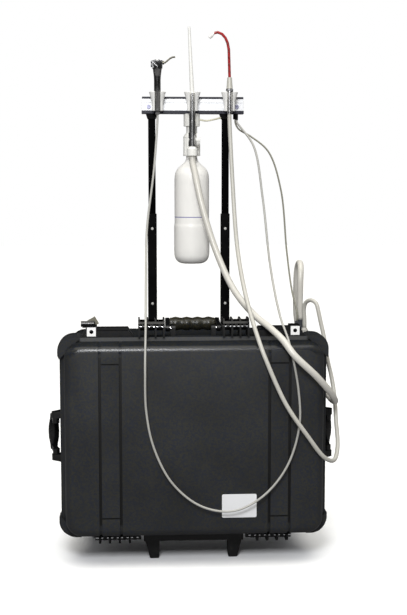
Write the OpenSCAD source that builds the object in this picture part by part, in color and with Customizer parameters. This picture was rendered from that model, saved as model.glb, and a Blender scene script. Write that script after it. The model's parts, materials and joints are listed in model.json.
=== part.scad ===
// Portable dental unit built into a wheeled, moulded equipment case.
// A telescoping trolley handle at the back carries the instrument rail and the water bottle.
// Origin: on the floor, in the middle of the footprint. +Z is up, the lid faces -Y, and
// the viewer who faces the lid has +X on the right.

/* [Case shells] */
// Width across the side walls at the parting plane
case_w = 582; // [556:1:620]
// Height between the bottom and top walls
case_h = 432; // [404:1:460]
// Height of the bottom wall above the floor
case_z = 73; // [70:1:84]
// Y of the parting plane between lid and base
part_y = -90; // [-96:1:-84]
// Depth of the lid in front of the parting plane
lid_d = 75; // [66:1:86]
// Depth of the base behind the parting plane
base_d = 225; // [215:1:240]
// Wall thickness of both shells
wall = 4.5; // [3.5:0.1:5.5]
// Corner radius of the shells, seen from the front
corner_r = 36; // [30:1:44]
// Radius of the rounded edge round the lid's face and the base's back
edge_r = 18; // [12:1:22]
// How far each side wall draws in towards the face or the back
draft = 4; // [2:0.5:6]
// How far the parting flange stands out from the walls
flange_out = 8; // [6:0.5:10]
// Depth of each shell's half of the flange
flange_d = 17; // [14:1:20]
// How far the corner bumpers stand out from the flange
bumper_out = 5; // [3:0.5:7]
// Distance from the middle to the inner groove of the lid's band
band_in = 164; // [150:1:176]
// Distance from the middle to the outer groove of the lid's band
band_out = 209; // [200:1:216]
// Width of the lid's grooves
groove_w = 6; // [4:0.5:8]
// Depth of the lid's grooves
groove_d = 2.6; // [1.5:0.1:3.2]
// Height of the crest pads above the top wall
crest_h = 22; // [18:1:24]
// Distance from each padlock tab to the side wall
tab_in = 63; // [59:1:65]
// Radius of the padlock holes
shackle_r = 4.5; // [3:0.1:5.5]

/* [Hinges and stand] */
// Height of the hinge pins above the floor
hinge_z = 51; // [48:0.5:53]
// Radius of the hinge pins
hinge_pin_r = 2.5; // [2:0.1:3]
// Distance from the middle to the inner end of each hinge
hinge_in = 120; // [116:1:126]
// Spacing of the hinge fins
hinge_pitch = 22.5; // [20:0.5:24]
// Number of fins in each hinge
hinge_fins = 4; // [3:1:5]
// Distance from the middle to each foot
foot_x = 90; // [80:1:96]
// Width of a foot where it stands on the floor
foot_w = 22; // [18:1:28]

/* [Latches and handles] */
// Distance from the middle to each latch
latch_x = 94.5; // [92:0.5:98]
// Width of a latch
latch_w = 59; // [54:0.5:62]
// Radius of the latch pins
latch_pin_r = 2.5; // [2:0.1:3]
// Height of the latch pins above the top wall
latch_pin_h = 31; // [29:0.5:33]
// Half the length of the front handle's grip
grip_x = 52.5; // [48:0.5:53]
// Radius of the front handle's grip
grip_r = 16; // [13:0.5:17]
// Height of the side handles' middle above the floor
side_z = 282; // [262:1:302]
// Half the height between the side handles' brackets
side_half = 42; // [38:1:50]

/* [Wheels] */
// Radius of the wheels
wheel_r = 45; // [40:1:46]
// Width of a wheel
wheel_w = 28; // [24:1:30]
// Distance from each wheel to the side wall
wheel_in = 62; // [57:1:69]
// Radius of the wheel axles
axle_r = 4; // [3:0.1:5]

/* [Trolley] */
// Distance from the middle to each trolley tube
tube_x = 88; // [80:1:92]
// Width of the upper tubes
upper_w = 17.4; // [15:0.2:19]
// Depth of the upper tubes
upper_d = 10; // [9:0.2:12]
// Wall of the sleeves and the fixed tubes
tube_wall = 1.9; // [1.5:0.1:2.2]
// Height of the top of the sleeves above the floor, extended
sleeve_top = 782; // [740:1:800]
// Length of the sleeves
sleeve_len = 348; // [330:1:360]
// Height of the underside of the rail above the floor, extended
rail_z = 1019; // [990:1:1040]
// Length of the upper tubes
upper_len = 300; // [290:1:320]

/* [Equipment in the base] */
// Radius of the compressor's motor
motor_r = 40; // [36:1:44]
// Length of the compressor's motor
motor_len = 132; // [120:1:136]
// Radius of the air tank
tank_r = 46; // [40:1:48]
// Length of the air tank between its round ends
tank_len = 200; // [180:1:204]
// Radius of the waste canister
canister_r = 58; // [50:1:60]
// Height of the waste canister's body
canister_h = 190; // [170:1:200]

/* [Instrument rail] */
// X of the rail's left end
rail_left = -111; // [-116:1:-106]
// X of the rail's right end
rail_right = 130.5; // [124:0.5:136]
// Height of the aluminium extrusion
rail_h = 27.5; // [25:0.5:30]
// Depth of the aluminium extrusion
rail_d = 20; // [18:1:22]
// Height of the black strip under the extrusion
rail_under = 7.5; // [6:0.5:9]
// Height of the black strip on the extrusion
rail_over = 5; // [4:0.5:6]
// Distance of the instruments in front of the rail
reach = 28; // [26:0.5:32]
// X of the air and water syringe
syringe_x = -75; // [-78:1:-72]
// X of the suction handpiece
suction_x = 7; // [4:1:8]
// X of the saliva ejector
saliva_x = 95; // [92:1:98]
// Radius of the syringe's handle
syringe_r = 7.8; // [7:0.1:8]
// Radius of the suction handpiece
suction_r = 7.4; // [7:0.1:7.8]
// Radius of the saliva ejector's handpiece
saliva_r = 7.8; // [7:0.1:8]
// Length of the suction tip above its socket
tip_len = 161; // [150:1:170]

/* [Water bottle] */
// X of the bottle
bottle_x = 7.5; // [4:0.5:9]
// Radius of the bottle's lower part
bottle_r = 42.5; // [38:0.5:44]
// Height of the bottle's bottom above the floor, extended
bottle_z = 662; // [655:1:690]
// Height of the bottle's round shoulder
dome_h = 50; // [42:1:60]
// Wall of the bottle
bottle_wall = 2; // [1.5:0.1:3]
// Radius of the bottle's cap
cap_r = 20.3; // [18.5:0.1:21]
// Height of the bottle's cap
cap_h = 53; // [46:1:54]

/* [Hoses] */
// Diameter of the syringe's hose
syringe_hose_d = 5; // [4:0.5:6]
// Diameter of the supply hose
supply_hose_d = 7; // [6:0.5:8]
// Diameter of the suction hose
suction_hose_d = 15; // [13:0.5:16]
// Diameter of the saliva ejector's hose
saliva_hose_d = 9.5; // [7:0.5:10]

/* [Hidden] */
$fn = 48;
EPS = 0.5;                              // overshoot of a cutter past the face it cuts
RUN = 0.05;                             // running clearance of a pin in its bore
GAP = 0.3;                              // clearance between pieces that move past each other
ARC = 6;                                // segments of a rounded corner

case_top = case_z + case_h;
case_mid = case_z + case_h / 2;
face_y = part_y - lid_d;
back_y = part_y + base_d;
flange_top = case_top + flange_out;
flange_low = case_z - flange_out;
plate_w = 20;
tab_w = plate_w + 3;
tab_x = case_w / 2 - tab_in;            // middle of each padlock tab
tab_z = flange_top + plate_w / 2 + 2;
crest_z = case_top + crest_h;           // top of the lid's crest pads
crest_rise = 6;                         // how much higher the base's crest stands
crest_d = 12;
plate_t = 1.5;

hinge_len = hinge_pitch * hinge_fins + 15;
fin_w = 5;
fin_r = 13.5;
knuckle_w = 8;
knuckle_r = 6;

latch_y = part_y - 17;                  // axis of the latch pins on the lid
catch_y = part_y + 21;                  // axis of the catch pins on the base
latch_z = case_top + latch_pin_h;
catch_z = latch_z - 4;
lug_w = 4;
lug_gap = (latch_w - lug_w) / 3;
lever_z = latch_z + 7;

grip_y = part_y + 66;
grip_z = case_top + 28;
pivot_y = part_y + 10;
pivot_z = case_top + 25;
arm_w = 9;
arm_in = grip_x + GAP;
handle_pin_r = 3;

side_x = case_w / 2 + 21;               // axis of the side handles
side_y = part_y + 33;
side_pin_r = 3;
side_swing = [10, 6];                   // how far the left and right handles stand out, degrees

wheel_x = case_w / 2 - wheel_in;
wheel_y = back_y - 46;
fork_w = 7;
well_r = wheel_r + 5;
well_w = wheel_w + 2 * fork_w + 2;

tube_y = back_y - 10;
sleeve_w = upper_w + 2 * GAP + 2 * tube_wall;
sleeve_dp = upper_d + 2 * GAP + 2 * tube_wall;
fixed_w = sleeve_w + 2 * GAP + 2 * tube_wall;
fixed_dp = sleeve_dp + 2 * GAP + 2 * tube_wall;
channel_w = 2 * tube_x + fixed_w + 18;
channel_d = 34;
fixed_low = case_z + 24;
guide_h = 40;

rail_y = tube_y;
rail_front = rail_y - rail_d / 2;
rail_bar = rail_z + rail_under;         // underside of the aluminium extrusion
rail_top = rail_bar + rail_h;
rail_mid = (rail_left + rail_right) / 2;
rail_len = rail_right - rail_left;
hold_y = rail_front - reach;
hold_h = 44;
hold_z = rail_bar - 2.5;

head_h = 29;
stem_h = 17;
cap_top = rail_z - head_h - stem_h;
cap_low = cap_top - cap_h;
shoulder_z = cap_low - dome_h;          // where the bottle's side turns into its shoulder
neck_r = 14;

syringe_z = rail_z - 4;                 // lower end of the syringe
knob_z = rail_z - 62;                   // axis of the suction handpiece's valve
panel_y = part_y + 48;
deck_t = 3;                             // thickness of the equipment deck
knob_x = 30;
knob_high = case_mid + 60;
switch_x = -204;
switch_z = case_mid + 40;
head_x = 12;                            // half the width of the syringe's head
head_top = 125;                         // height of the head above the syringe's lower end
button_zs = [113, 121];                 // heights of the syringe's buttons
button_r = 3.4;
button_out = 3.2;                       // how far a button stands out of the head
tip_z = rail_z + 46;                    // top of the suction handpiece
suction_end = 919;                      // lower end of the suction handpiece's coupler
saliva_end = rail_z - 2;                // lower end of the saliva ejector
bend_z = rail_z + 83;                   // top of the saliva ejector's adapter
supply_exit = [112, 124];               // where the supply hose leaves the rail
air_exit = [114, 112];                  // where the syringe's air line leaves the rail
port_x = case_w / 2 - 24;
inlet_x = 56 - case_w / 2;
port_suction_y = back_y - 42;
port_supply_y = back_y - 73;
port_saliva_y = back_y - 120;

// Routes of the hoses, from the instrument or the rail down to the case
SYRINGE_HOSE = [[syringe_x, hold_y, syringe_z], [syringe_x, hold_y, syringe_z - 12],
    [-84, 62, 890], [-102, 10, 750], [-106, -70, 635], [-108, -150, 540], [-110, -183, 450],
    [-108, -183, 360], [-92, -183, 280], [-52, -183, 200], [10, -184, 148], [80, -184, 135],
    [145, -184, 165], [200, -180, 230], [228, -178, 320], [226, -178, 400], [207, -172, 500],
    [194, -95, 560], [182, -10, 665], [170, 45, 820], [152, 75, 940], [122, 103, 988],
    [air_exit.x, air_exit.y, rail_z - 19], [air_exit.x, air_exit.y, rail_z - 14]];
SUPPLY_HOSE = [[supply_exit.x, supply_exit.y, rail_z - 12], [supply_exit.x, supply_exit.y, rail_z - 20],
    [120, 124, 984], [150, 123, 966], [192, 121, 930], [222, 117, 840], [236, 104, 690],
    [246, 84, 600], [port_x - 11, port_supply_y, case_top + 41],
    [port_x - 11, port_supply_y, case_top + 22]];
SUCTION_HOSE = [[suction_x, hold_y, suction_end], [suction_x, hold_y, suction_end - 5],
    [7.2, 85.4, 907], [8.2, 81.4, 898], [10.5, 76, 887], [15, 66, 862], [28, 50, 800],
    [58, 28, 700], [96, -14, 612], [136, -74, 560], [170, -136, 533], [192, -174, 512], [214, -195, 482], [262, -193, 436],
    [300, -163, 393], [317, -120, 366], [314, -84, 366], [307, -52, 378], [307, -10, 394],
    [309, 50, 404], [306, 110, 424], [290, 150, 455], [272, 165, 510], [269, 164, 627],
    [270, 153.7, 651.7], [271, 129, 662], [270, 104.3, 651.7], [268, 94, 627],
    [port_x, port_suction_y, case_top + 60], [port_x, port_suction_y, case_top + 22]];
SALIVA_HOSE = [[saliva_x, hold_y, saliva_end], [saliva_x, hold_y, saliva_end - 12], [100, 60, 860],
    [106, 13, 720], [113, -47, 640], [124, -118, 570], [140, -164, 509], [152, -180, 474],
    [196, -193, 375], [244, -194, 304], [284, -178, 252], [311, -150, 238], [326, -112, 262],
    [326, -86, 319], [326, -66, 366], [321, -50, 410], [313, -38, 451], [306, -28, 501],
    [298, -20, 540], [294, -16, 561], [289.8, -11.3, 576.6], [279.5, 0, 583],
    [269.2, 11.3, 576.6], [265.5, 15.5, 561], [port_x, port_saliva_y, case_top + 28],
    [port_x, port_saliva_y, case_top + 12]];
AIR_LINE = [[bottle_x + 16.5, rail_y - 5, rail_z - 13], [bottle_x + 33, rail_y - 6, rail_z - 16],
    [tube_x - 28, rail_y - 6, rail_z - 13], [tube_x - 9, rail_y - 5, rail_z - 8]];
SALIVA_BEND = [[0, 0, 0], [-1, 0, 30], [-2, 0, 64], [-5, 0, 80], [-10, 0, 91], [-18, 0, 100],
    [-28, 0, 104], [-37, 0, 102], [-42, 0, 97]];

// ---------------------------------------------------------------- shared shapes

// Points of a rounded rectangle, w by h with corner radius r, anticlockwise
function rounded(w, h, r) = [for (c = [0:3], i = [0:ARC])
    let (a = 90 * c + 90 * i / ARC, sx = (c == 0 || c == 3) ? 1 : -1, sz = (c < 2) ? 1 : -1)
    [sx * (w / 2 - r) + r * cos(a), sz * (h / 2 - r) + r * sin(a)]];

// Faces of a tube of rings, n points in each of m rings, with a cap at both ends
function ring_faces(m, n) = concat(
    [[for (i = [0:n - 1]) n - 1 - i]],
    [for (k = [0:m - 2], i = [0:n - 1]) let (j = (i + 1) % n)
        each [[k * n + i, k * n + j, (k + 1) * n + j], [k * n + i, (k + 1) * n + j, (k + 1) * n + i]]],
    [[for (i = [0:n - 1]) (m - 1) * n + i]]);

// Solid through rounded rectangles that stand upright, each given as [y, width, height, radius]
module shell_loft(rings) {
    points = [for (q = rings, p = rounded(q[1], q[2], q[3])) [p[0], q[0], p[1] + case_mid]];
    polyhedron(points, ring_faces(len(rings), 4 * (ARC + 1)));
}

// Rings of a rounded edge that runs from depth y to y + dir * r on a w by h outline
function edge_rings(y, dir, w, h, r, steps) = [for (i = [0:steps])
    let (a = 90 * i / steps, inset = r * (1 - cos(a)))
    [y + dir * r * sin(a), w - 2 * inset, h - 2 * inset, corner_r - inset * 0.6]];

// One shell's outer skin, from the parting plane to its face or back. grow moves every wall out.
module shell_skin(dir, depth, grow, steps) {
    w0 = case_w + 2 * grow;
    w1 = case_w - 2 * draft + 2 * grow;
    h = case_h + 2 * grow;
    rings = concat([[part_y, w0, h, corner_r + grow]],
        edge_rings(part_y + dir * (depth - edge_r), dir, w1, h, edge_r + grow, steps));
    shell_loft(dir > 0 ? rings : [for (i = [len(rings) - 1:-1:0]) rings[i]]);
}

// The flange half on one side of the parting plane, chamfered back to the wall
module flange(dir) {
    w = case_w + 2 * flange_out;
    h = case_h + 2 * flange_out;
    far = part_y + dir * flange_d;
    rings = [[part_y, w, h, corner_r + flange_out], [far, w, h, corner_r + flange_out],
        [far + dir * flange_out, case_w - 2 * wall, case_h - 2 * wall, corner_r - wall]];
    shell_loft(dir > 0 ? rings : [rings[2], rings[1], rings[0]]);
}

// Rounded rectangle of w by h as a plane shape with true arcs
module rounded_square(w, h, r) {
    square([w - 2 * r, h], center = true);
    square([w, h - 2 * r], center = true);
    for (sx = [-1, 1], sy = [-1, 1])
        translate([sx * (w / 2 - r), sy * (h / 2 - r)]) circle(r);
}

// Upright extrusion of a plane shape from z0 to z1
module upright(z0, z1) {
    translate([0, 0, z0]) linear_extrude(z1 - z0) children();
}

// Plate between y0 and y1 whose outline is drawn in X and Z
module standing(y0, y1) {
    translate([0, y1, 0]) rotate([90, 0, 0]) linear_extrude(y1 - y0) children();
}

// Cylinder along X from x0 to x1
module bar_x(x0, x1, y, z, r) {
    translate([x0, y, z]) rotate([0, 90, 0]) cylinder(r = r, h = x1 - x0);
}

// Block given by its low and high corners
module block(low, high) {
    translate(low) cube(high - low);
}

// The same shape on the right and mirrored on the left
module both_sides() {
    children();
    mirror([1, 0, 0]) children();
}

// Unit vector, and a tube of n sides swept along a route, square to it at both ends
function unit(v) = v / norm(v);
function heading(r, i) = unit(r[min(i + 1, len(r) - 1)] - r[max(i - 1, 0)]);
function sideways(t) = unit(cross(t, abs(t[0]) < 0.9 ? [1, 0, 0] : [0, 1, 0]));
function turned(u, t) = unit(u - (u * t) * t);
function frames(r, i, u) = i == len(r) ? []
    : let (v = turned(u, heading(r, i))) concat([v], frames(r, i + 1, v));
module swept(route, d, n) {
    us = frames(route, 0, sideways(heading(route, 0)));
    points = [for (i = [0:len(route) - 1], k = [0:n - 1])
        let (t = heading(route, i), w = cross(t, us[i]), a = -360 * k / n)
        route[i] + d / 2 * (cos(a) * us[i] + sin(a) * w)];
    polyhedron(points, ring_faces(len(route), n));
}

// ---------------------------------------------------------------- base of the case

// Crest pad and padlock tab on the flange's top between y0 and y1, the pad as high as top, with
// the band's grooves cut into the face at groove_y
module crest(y0, y1, top, groove_y) {
    both_sides() difference() {
        standing(y0, y1) {
            polygon([[band_in - 30, flange_top], [band_in - 17, top], [tab_x + tab_w / 2, top],
                [tab_x + tab_w / 2 + 12, flange_top]]);
            translate([tab_x - tab_w / 2, flange_top]) square([tab_w, plate_w + 4]);
        }
        for (x = [band_in, band_out])
            block([x - groove_w / 2, groove_y - groove_d, flange_top + EPS],
                [x + groove_w / 2, groove_y + groove_d, top + EPS]);
        shackle_hole(y0 - EPS, y1 + EPS);
    }
}

// Hole for a padlock's shackle, through both tabs
module shackle_hole(y0, y1) {
    standing(y0, y1) translate([tab_x, tab_z]) circle(shackle_r);
}

// Outline of the four corner bumpers, cut off at 45 degrees along each side
module bumper_outline(out) {
    reach_in = 46;
    intersection() {
        translate([0, case_mid + 1]) rounded_square(case_w + 2 * flange_out + 2 * out,
            case_h + 2 * flange_out + 2 * out + 2, corner_r);
        for (sx = [-1, 1], sz = [-1, 1])
            translate([sx * (case_w / 2 + flange_out), case_mid + sz * (case_h / 2 + flange_out)])
                rotate(45) square(reach_in * sqrt(2), center = true);
    }
}

// Corner bumpers of one shell: a pad over the flange and two ribs that fade towards the wall
module corner_bumpers(dir) {
    for (q = [[0, flange_d, bumper_out], [flange_d + 5, 4, bumper_out - 2],
            [flange_d + 14, 4, bumper_out - 4]]) {
        y0 = part_y + dir * q[0];
        y1 = y0 + dir * q[1];
        difference() {
            standing(min(y0, y1), max(y0, y1)) bumper_outline(q[2]);
            translate([0, 0, case_mid]) rotate([90, 0, 0])
                linear_extrude(4 * case_w, center = true)
                    rounded_square(case_w - 2 * wall - 1, case_h - 2 * wall - 1, corner_r - wall);
        }
    }
}

// Trolley channel down the back, and its walls inside the case
module trolley_channel(grow) {
    block([-channel_w / 2 - grow, back_y - channel_d - grow, case_z - 60],
        [channel_w / 2 + grow, back_y + 60, case_top + 60]);
}

// Wheel well in the corner of the base
module wheel_well(grow) {
    bar_x(wheel_x - well_w / 2 - grow, wheel_x + well_w / 2 + grow, wheel_y, wheel_r,
        well_r + grow);
}

// Bracket blocks of a side handle on the right wall
module side_brackets() {
    for (s = [-1, 1]) {
        low = side_z + s * (side_half + 7) - 7;
        foot = s < 0 ? low - 4 : low;
        difference() {
            hull() {
                block([case_w / 2 - wall, side_y - 16, foot], [case_w / 2 - 2, side_y + 16, foot + 18]);
                translate([side_x, side_y, low]) cylinder(r = 10, h = 14, $fn = 32);
            }
            translate([side_x, side_y, low - 1]) cylinder(r = side_pin_r, h = 16);
            shell_skin(1, base_d, 0, 4);
            flange(1);
        }
    }
}

module base_shell() {
    color("#1d1e20") difference() {
        union() {
            difference() {
                union() {
                    shell_skin(1, base_d, 0, 4);
                    flange(1);
                    corner_bumpers(1);
                }
                difference() {
                    translate([0, -EPS, 0]) shell_skin(1, base_d, -wall, 3);
                    trolley_channel(wall);
                    both_sides() wheel_well(wall);
                }
                trolley_channel(0);
                both_sides() wheel_well(0);
            }
        }
        translate([port_x, port_suction_y, case_top - 12]) cylinder(r = 8, h = 20);
        translate([port_x - 11, port_supply_y, case_top - 12]) cylinder(r = 5, h = 20);
        translate([port_x, port_saliva_y, case_top - 12]) cylinder(r = 6, h = 20);
        translate([inlet_x, back_y - 22, case_top - 12]) cylinder(r = 4, h = 20);
    }
}

// Crossbar under the flange and the two feet that the upright case stands on
module stand_feet() {
    top = flange_low;
    bar = hinge_z - 11;
    color("#1d1e20") {
        wheel_forks();
        front_stand(bar, top);
    }
}

// Crossbar with its two feet, from height bar up to top
module front_stand(bar, top) {
    standing(part_y + 0.5, part_y + 28) {
        translate([-hinge_in + 6, bar]) square([2 * hinge_in - 12, top - bar]);
        both_sides() {
            translate([foot_x - foot_w / 2, 4]) square([foot_w, bar]);
            polygon([[foot_x - foot_w / 2, 4], [foot_x + foot_w / 2, 4],
                [foot_x + foot_w / 2 + 9, bar + EPS], [foot_x - foot_w / 2 - 1, bar + EPS]]);
            for (s = [-1, 1]) translate([foot_x + s * (foot_w / 2 - 4), 4]) circle(4);
            translate([foot_x - foot_w / 2 + 4, 0]) square([foot_w - 8, 5]);
        }
    }
}

// X of the middle of each hinge fin on the right side
function fin_x(i) = hinge_in + 26 + i * hinge_pitch;

module base_hinge_blocks() {
    color("#1d1e20") both_sides() difference() {
        union() {
            block([hinge_in, part_y + knuckle_r + EPS, hinge_z - 8],
                [hinge_in + hinge_len, part_y + flange_d, flange_low]);
            for (i = [0:hinge_fins - 1]) {
                bar_x(fin_x(i) - fin_w / 2, fin_x(i) + fin_w / 2, part_y, hinge_z, fin_r);
                block([fin_x(i) - fin_w / 2, part_y, hinge_z - fin_r],
                    [fin_x(i) + fin_w / 2, part_y + flange_d, hinge_z + 8]);
            }
        }
        bar_x(hinge_in - EPS, hinge_in + hinge_len + EPS, part_y, hinge_z, hinge_pin_r);
    }
}

// X of the lugs of the right latch
function lug_x(i) = latch_x - latch_w / 2 + lug_w / 2 + i * lug_gap;

// Four lugs that stand on the flange and carry a pin along X
module latch_lugs(y, z, pin_r) {
    both_sides() for (i = [0:3]) difference() {
        union() {
            bar_x(lug_x(i) - lug_w / 2, lug_x(i) + lug_w / 2, y, z, 6.5);
            block([lug_x(i) - lug_w / 2, y - 6.5, flange_top], [lug_x(i) + lug_w / 2, y + 6.5, z]);
        }
        bar_x(lug_x(i) - lug_w, lug_x(i) + lug_w, y, z, pin_r);
    }
}

// Lugs inside the front handle's arms
module handle_lugs() {
    both_sides() difference() {
        union() {
            bar_x(grip_x - 12, grip_x - 2, pivot_y, pivot_z, 8);
            block([grip_x - 12, pivot_y - 8, flange_top], [grip_x - 2, pivot_y + 7, pivot_z]);
        }
        bar_x(grip_x - 13, grip_x, pivot_y, pivot_z, handle_pin_r);
    }
}

// Fittings on the base: crest with its padlock tabs, the latches' catches, and the bearings of
// the front and side handles
module base_lugs() {
    color("#1d1e20") {
        crest(part_y, part_y + 2 * crest_d, crest_z + crest_rise, part_y - EPS);
        latch_lugs(catch_y, catch_z, latch_pin_r);
        handle_lugs();
        both_sides() side_brackets();
    }
}

// Steel pins of the base: hinges, latch catches, handles and wheel axles
module steel_pins() {
    color("#d8dadc") both_sides() {
        bar_x(fin_x(0) - 20, fin_x(hinge_fins - 1) + 10, part_y, hinge_z, hinge_pin_r);
        bar_x(lug_x(0) - lug_w / 2, lug_x(3) + lug_w / 2, catch_y, catch_z, latch_pin_r);
        bar_x(grip_x - 12, arm_in + arm_w, pivot_y, pivot_z, handle_pin_r);
        for (s = [-1, 1]) translate([side_x, side_y, side_z + s * (side_half + 2) - 12])
            cylinder(r = side_pin_r, h = 24);
        bar_x(wheel_x - well_w / 2 + 1, wheel_x + well_w / 2 - 1, wheel_y, wheel_r, axle_r);
    }
}

// Stainless plate with its shackle hole, standing on a padlock tab
module padlock_plate(y0) {
    both_sides() difference() {
        standing(y0, y0 + plate_t) translate([tab_x, tab_z])
            square([plate_w, plate_w], center = true);
        shackle_hole(y0 - EPS, y0 + plate_t + EPS);
    }
}

// Cheeks on both sides of each wheel, up to the bottom wall
module wheel_forks() {
    both_sides() for (s = [-1, 1]) {
        x = wheel_x + s * (wheel_w / 2 + 1 + fork_w / 2) - fork_w / 2;
        difference() {
            union() {
                bar_x(x, x + fork_w, wheel_y, wheel_r, 14);
                block([x, wheel_y - 14, wheel_r], [x + fork_w, wheel_y + 14, case_z + 18]);
            }
            bar_x(x - EPS, x + fork_w + EPS, wheel_y, wheel_r, axle_r);
        }
    }
}

// Outline of a trolley tube's stage
module tube_outline(w, d) {
    rounded_square(w, d, d * 0.3);
}

module trolley_guides() {
    color("#232427") difference() {
        union() {
            block([-channel_w / 2, back_y - channel_d, case_top - guide_h],
                [channel_w / 2, back_y, case_top]);
            block([-channel_w / 2, back_y - channel_d, fixed_low - 14],
                [channel_w / 2, back_y, fixed_low + 16]);
        }
        for (s = [-1, 1]) translate([s * tube_x, tube_y])
            upright(fixed_low, case_top + 1) tube_outline(fixed_w + 0.1, fixed_dp + 0.1);
        block([-tube_x + 30, back_y - 8, case_top - guide_h - 1], [tube_x - 30, back_y + 1, case_top + 1]);
    }
}

module fixed_tubes() {
    color("#2a2b2e") for (s = [-1, 1]) translate([s * tube_x, tube_y])
        upright(fixed_low, case_top) difference() {
            tube_outline(fixed_w, fixed_dp);
            tube_outline(sleeve_w + 2 * GAP, sleeve_dp + 2 * GAP);
        }
}

// Gland with a stem in the top wall, a hexagon and a collar that the hose enters
module gland(x, y, stem_r, hex_r, collar_r, collar_h) {
    translate([x, y, case_top - 10]) {
        cylinder(r = stem_r, h = 10);
        translate([0, 0, 10]) cylinder(r = hex_r, h = 7, $fn = 6);
        translate([0, 0, 17]) cylinder(r1 = collar_r, r2 = collar_r - 1, h = collar_h - 7);
    }
}

module hose_glands() {
    color("#4a4c50") {
        gland(port_x, port_suction_y, 8, 12, 9.5, 22);
        gland(port_x - 11, port_supply_y, 5, 8, 5.5, 22);
    }
}

module saliva_port() {
    color("#c8c6bd") gland(port_x, port_saliva_y, 6, 9, 7, 12);
}

// Small plate, turned on its corner, that holds the coupling behind the left corner
module air_inlet_bracket() {
    color("#8d8b80") {
        standing(back_y - 26, back_y - 23)
            translate([inlet_x + 3, case_top + 17]) rotate(30) square([22, 20], center = true);
        translate([inlet_x, back_y - 22, case_top - 10]) cylinder(r = 4, h = 10);
        block([inlet_x - 6, back_y - 26, case_top], [inlet_x + 6, back_y - 17, case_top + 7.5]);
    }
}

module air_inlet_coupling() {
    color("#18181a") {
        translate([inlet_x + 3, back_y - 26, case_top + 15]) rotate([90, 0, 0]) cylinder(r = 6, h = 18);
        translate([inlet_x - 25, back_y - 44, case_top + 15]) rotate([0, 90, 0]) cylinder(r = 7, h = 31);
        translate([inlet_x - 17, back_y - 44, case_top + 6]) cylinder(r = 5, h = 12);
    }
}

// ---------------------------------------------------------------- equipment in the base

// Deck that closes the base behind the parting plane, with ventilation slots
module equipment_panel() {
    w = case_w - 2 * wall - 2.4;
    h = case_h - 2 * wall - 0.4;
    color("#b9bcc0") difference() {
        standing(panel_y, panel_y + deck_t) translate([0, case_mid]) rounded_square(w, h, 34);
        for (i = [0:7])
            block([120 + i * 14, panel_y - EPS, case_z + 60], [126 + i * 14, panel_y + 4, case_z + 150]);
        translate([knob_x, panel_y - EPS, knob_high]) rotate([-90, 0, 0])
            cylinder(r = 3 + RUN, h = deck_t + 2 * EPS);
        block([switch_x - 8.3, panel_y - EPS, switch_z - 11.5],
            [switch_x + 8.3, panel_y + 4, switch_z + 11.5]);
        bar_x(switch_x - 10.5, switch_x + 10.5, panel_y + deck_t / 2, switch_z, 1 + RUN);
    }
}

// Pump on four feet: finned motor, crankcase and an upright finned cylinder
module compressor() {
    x0 = -28 - motor_len;
    y = panel_y + motor_r + 20;
    z = case_z + wall + 16;
    axis_z = z + motor_r + 10;
    cylinder_x = -45;
    color("#6d7074") {
        for (x = [x0 + 10, -40], s = [-30, 30])
            translate([x, y + s, case_z + wall]) cylinder(r = 9, h = 17);
        block([x0 - 5, y - motor_r - 2, z], [-25, y + motor_r + 2, z + 7]);
        bar_x(x0, -28, y, axis_z, motor_r);
        for (i = [0:8]) bar_x(x0 + 4 + i * 11, x0 + 8 + i * 11, y, axis_z, motor_r + 4);
        translate([cylinder_x, y, axis_z + 30]) cylinder(r = 17, h = 44);
        for (i = [0:4])
            translate([cylinder_x, y, axis_z + 42 + i * 7]) cylinder(r = 24, h = 3);
    }
}

// Tank with round ends on two straps from the deck, and its riser to the top wall
module air_tank() {
    x0 = -15 - tank_len;
    y = panel_y + tank_r + 16;
    z = case_top - tank_r - 44;
    color("#4d5a66") {
        bar_x(x0, -15, y, z, tank_r);
        for (x = [x0, -15]) translate([x, y, z]) sphere(r = tank_r);
        translate([x0 + tank_len / 2, y, z + 30]) cylinder(r = 8, h = tank_r + 14 - wall);
        for (x = [x0 + 35, -55]) block([x, panel_y + 3, z - 20], [x + 12, panel_y + 30, z + 20]);
    }
}

// Canister with a tapered lid and two hose stubs, on the bottom wall
module waste_canister() {
    color("#dfe3e4") translate([140, panel_y + canister_r + 10, case_z + wall]) {
        cylinder(r = canister_r, h = canister_h);
        translate([0, 0, canister_h]) cylinder(r1 = canister_r + 4, r2 = canister_r - 2, h = 16);
        for (s = [-1, 1]) translate([s * 24, 0, canister_h + 16]) cylinder(r = 7, h = 22);
    }
}

module power_inlet() {
    color("#151515") difference() {
        block([-228, panel_y - 10, case_mid - 30], [-180, panel_y, case_mid + 4]);
        block([-218, panel_y - 10 - EPS, case_mid - 22], [-190, panel_y - 3, case_mid - 4]);
    }
}

module pressure_gauge() {
    color("#e9ebec") translate([-60, panel_y, case_mid + 60]) rotate([90, 0, 0]) {
        cylinder(r = 22, h = 10);
        translate([0, 0, 10]) difference() {
            cylinder(r = 22, h = 4);
            cylinder(r = 19, h = 5);
        }
        translate([0, 0, 10]) rotate(35) translate([-1, -4, 0]) cube([2, 20, 1.5]);
        translate([0, 0, 10]) cylinder(r = 3, h = 2.5);
    }
}

module regulator_knob() {
    color("#202124") translate([knob_x, panel_y - GAP, knob_high]) rotate([90, 0, 0]) difference() {
        union() {
            translate([0, 0, -deck_t - 1]) cylinder(r = 3, h = deck_t + 2);
            cylinder(r = 15, h = 6);
            translate([0, 0, 6]) cylinder(r1 = 14, r2 = 12, h = 14);
        }
        for (a = [0:30:330]) rotate(a) translate([15.5, 0, 8]) cylinder(r = 2.2, h = 14);
    }
}

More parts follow.
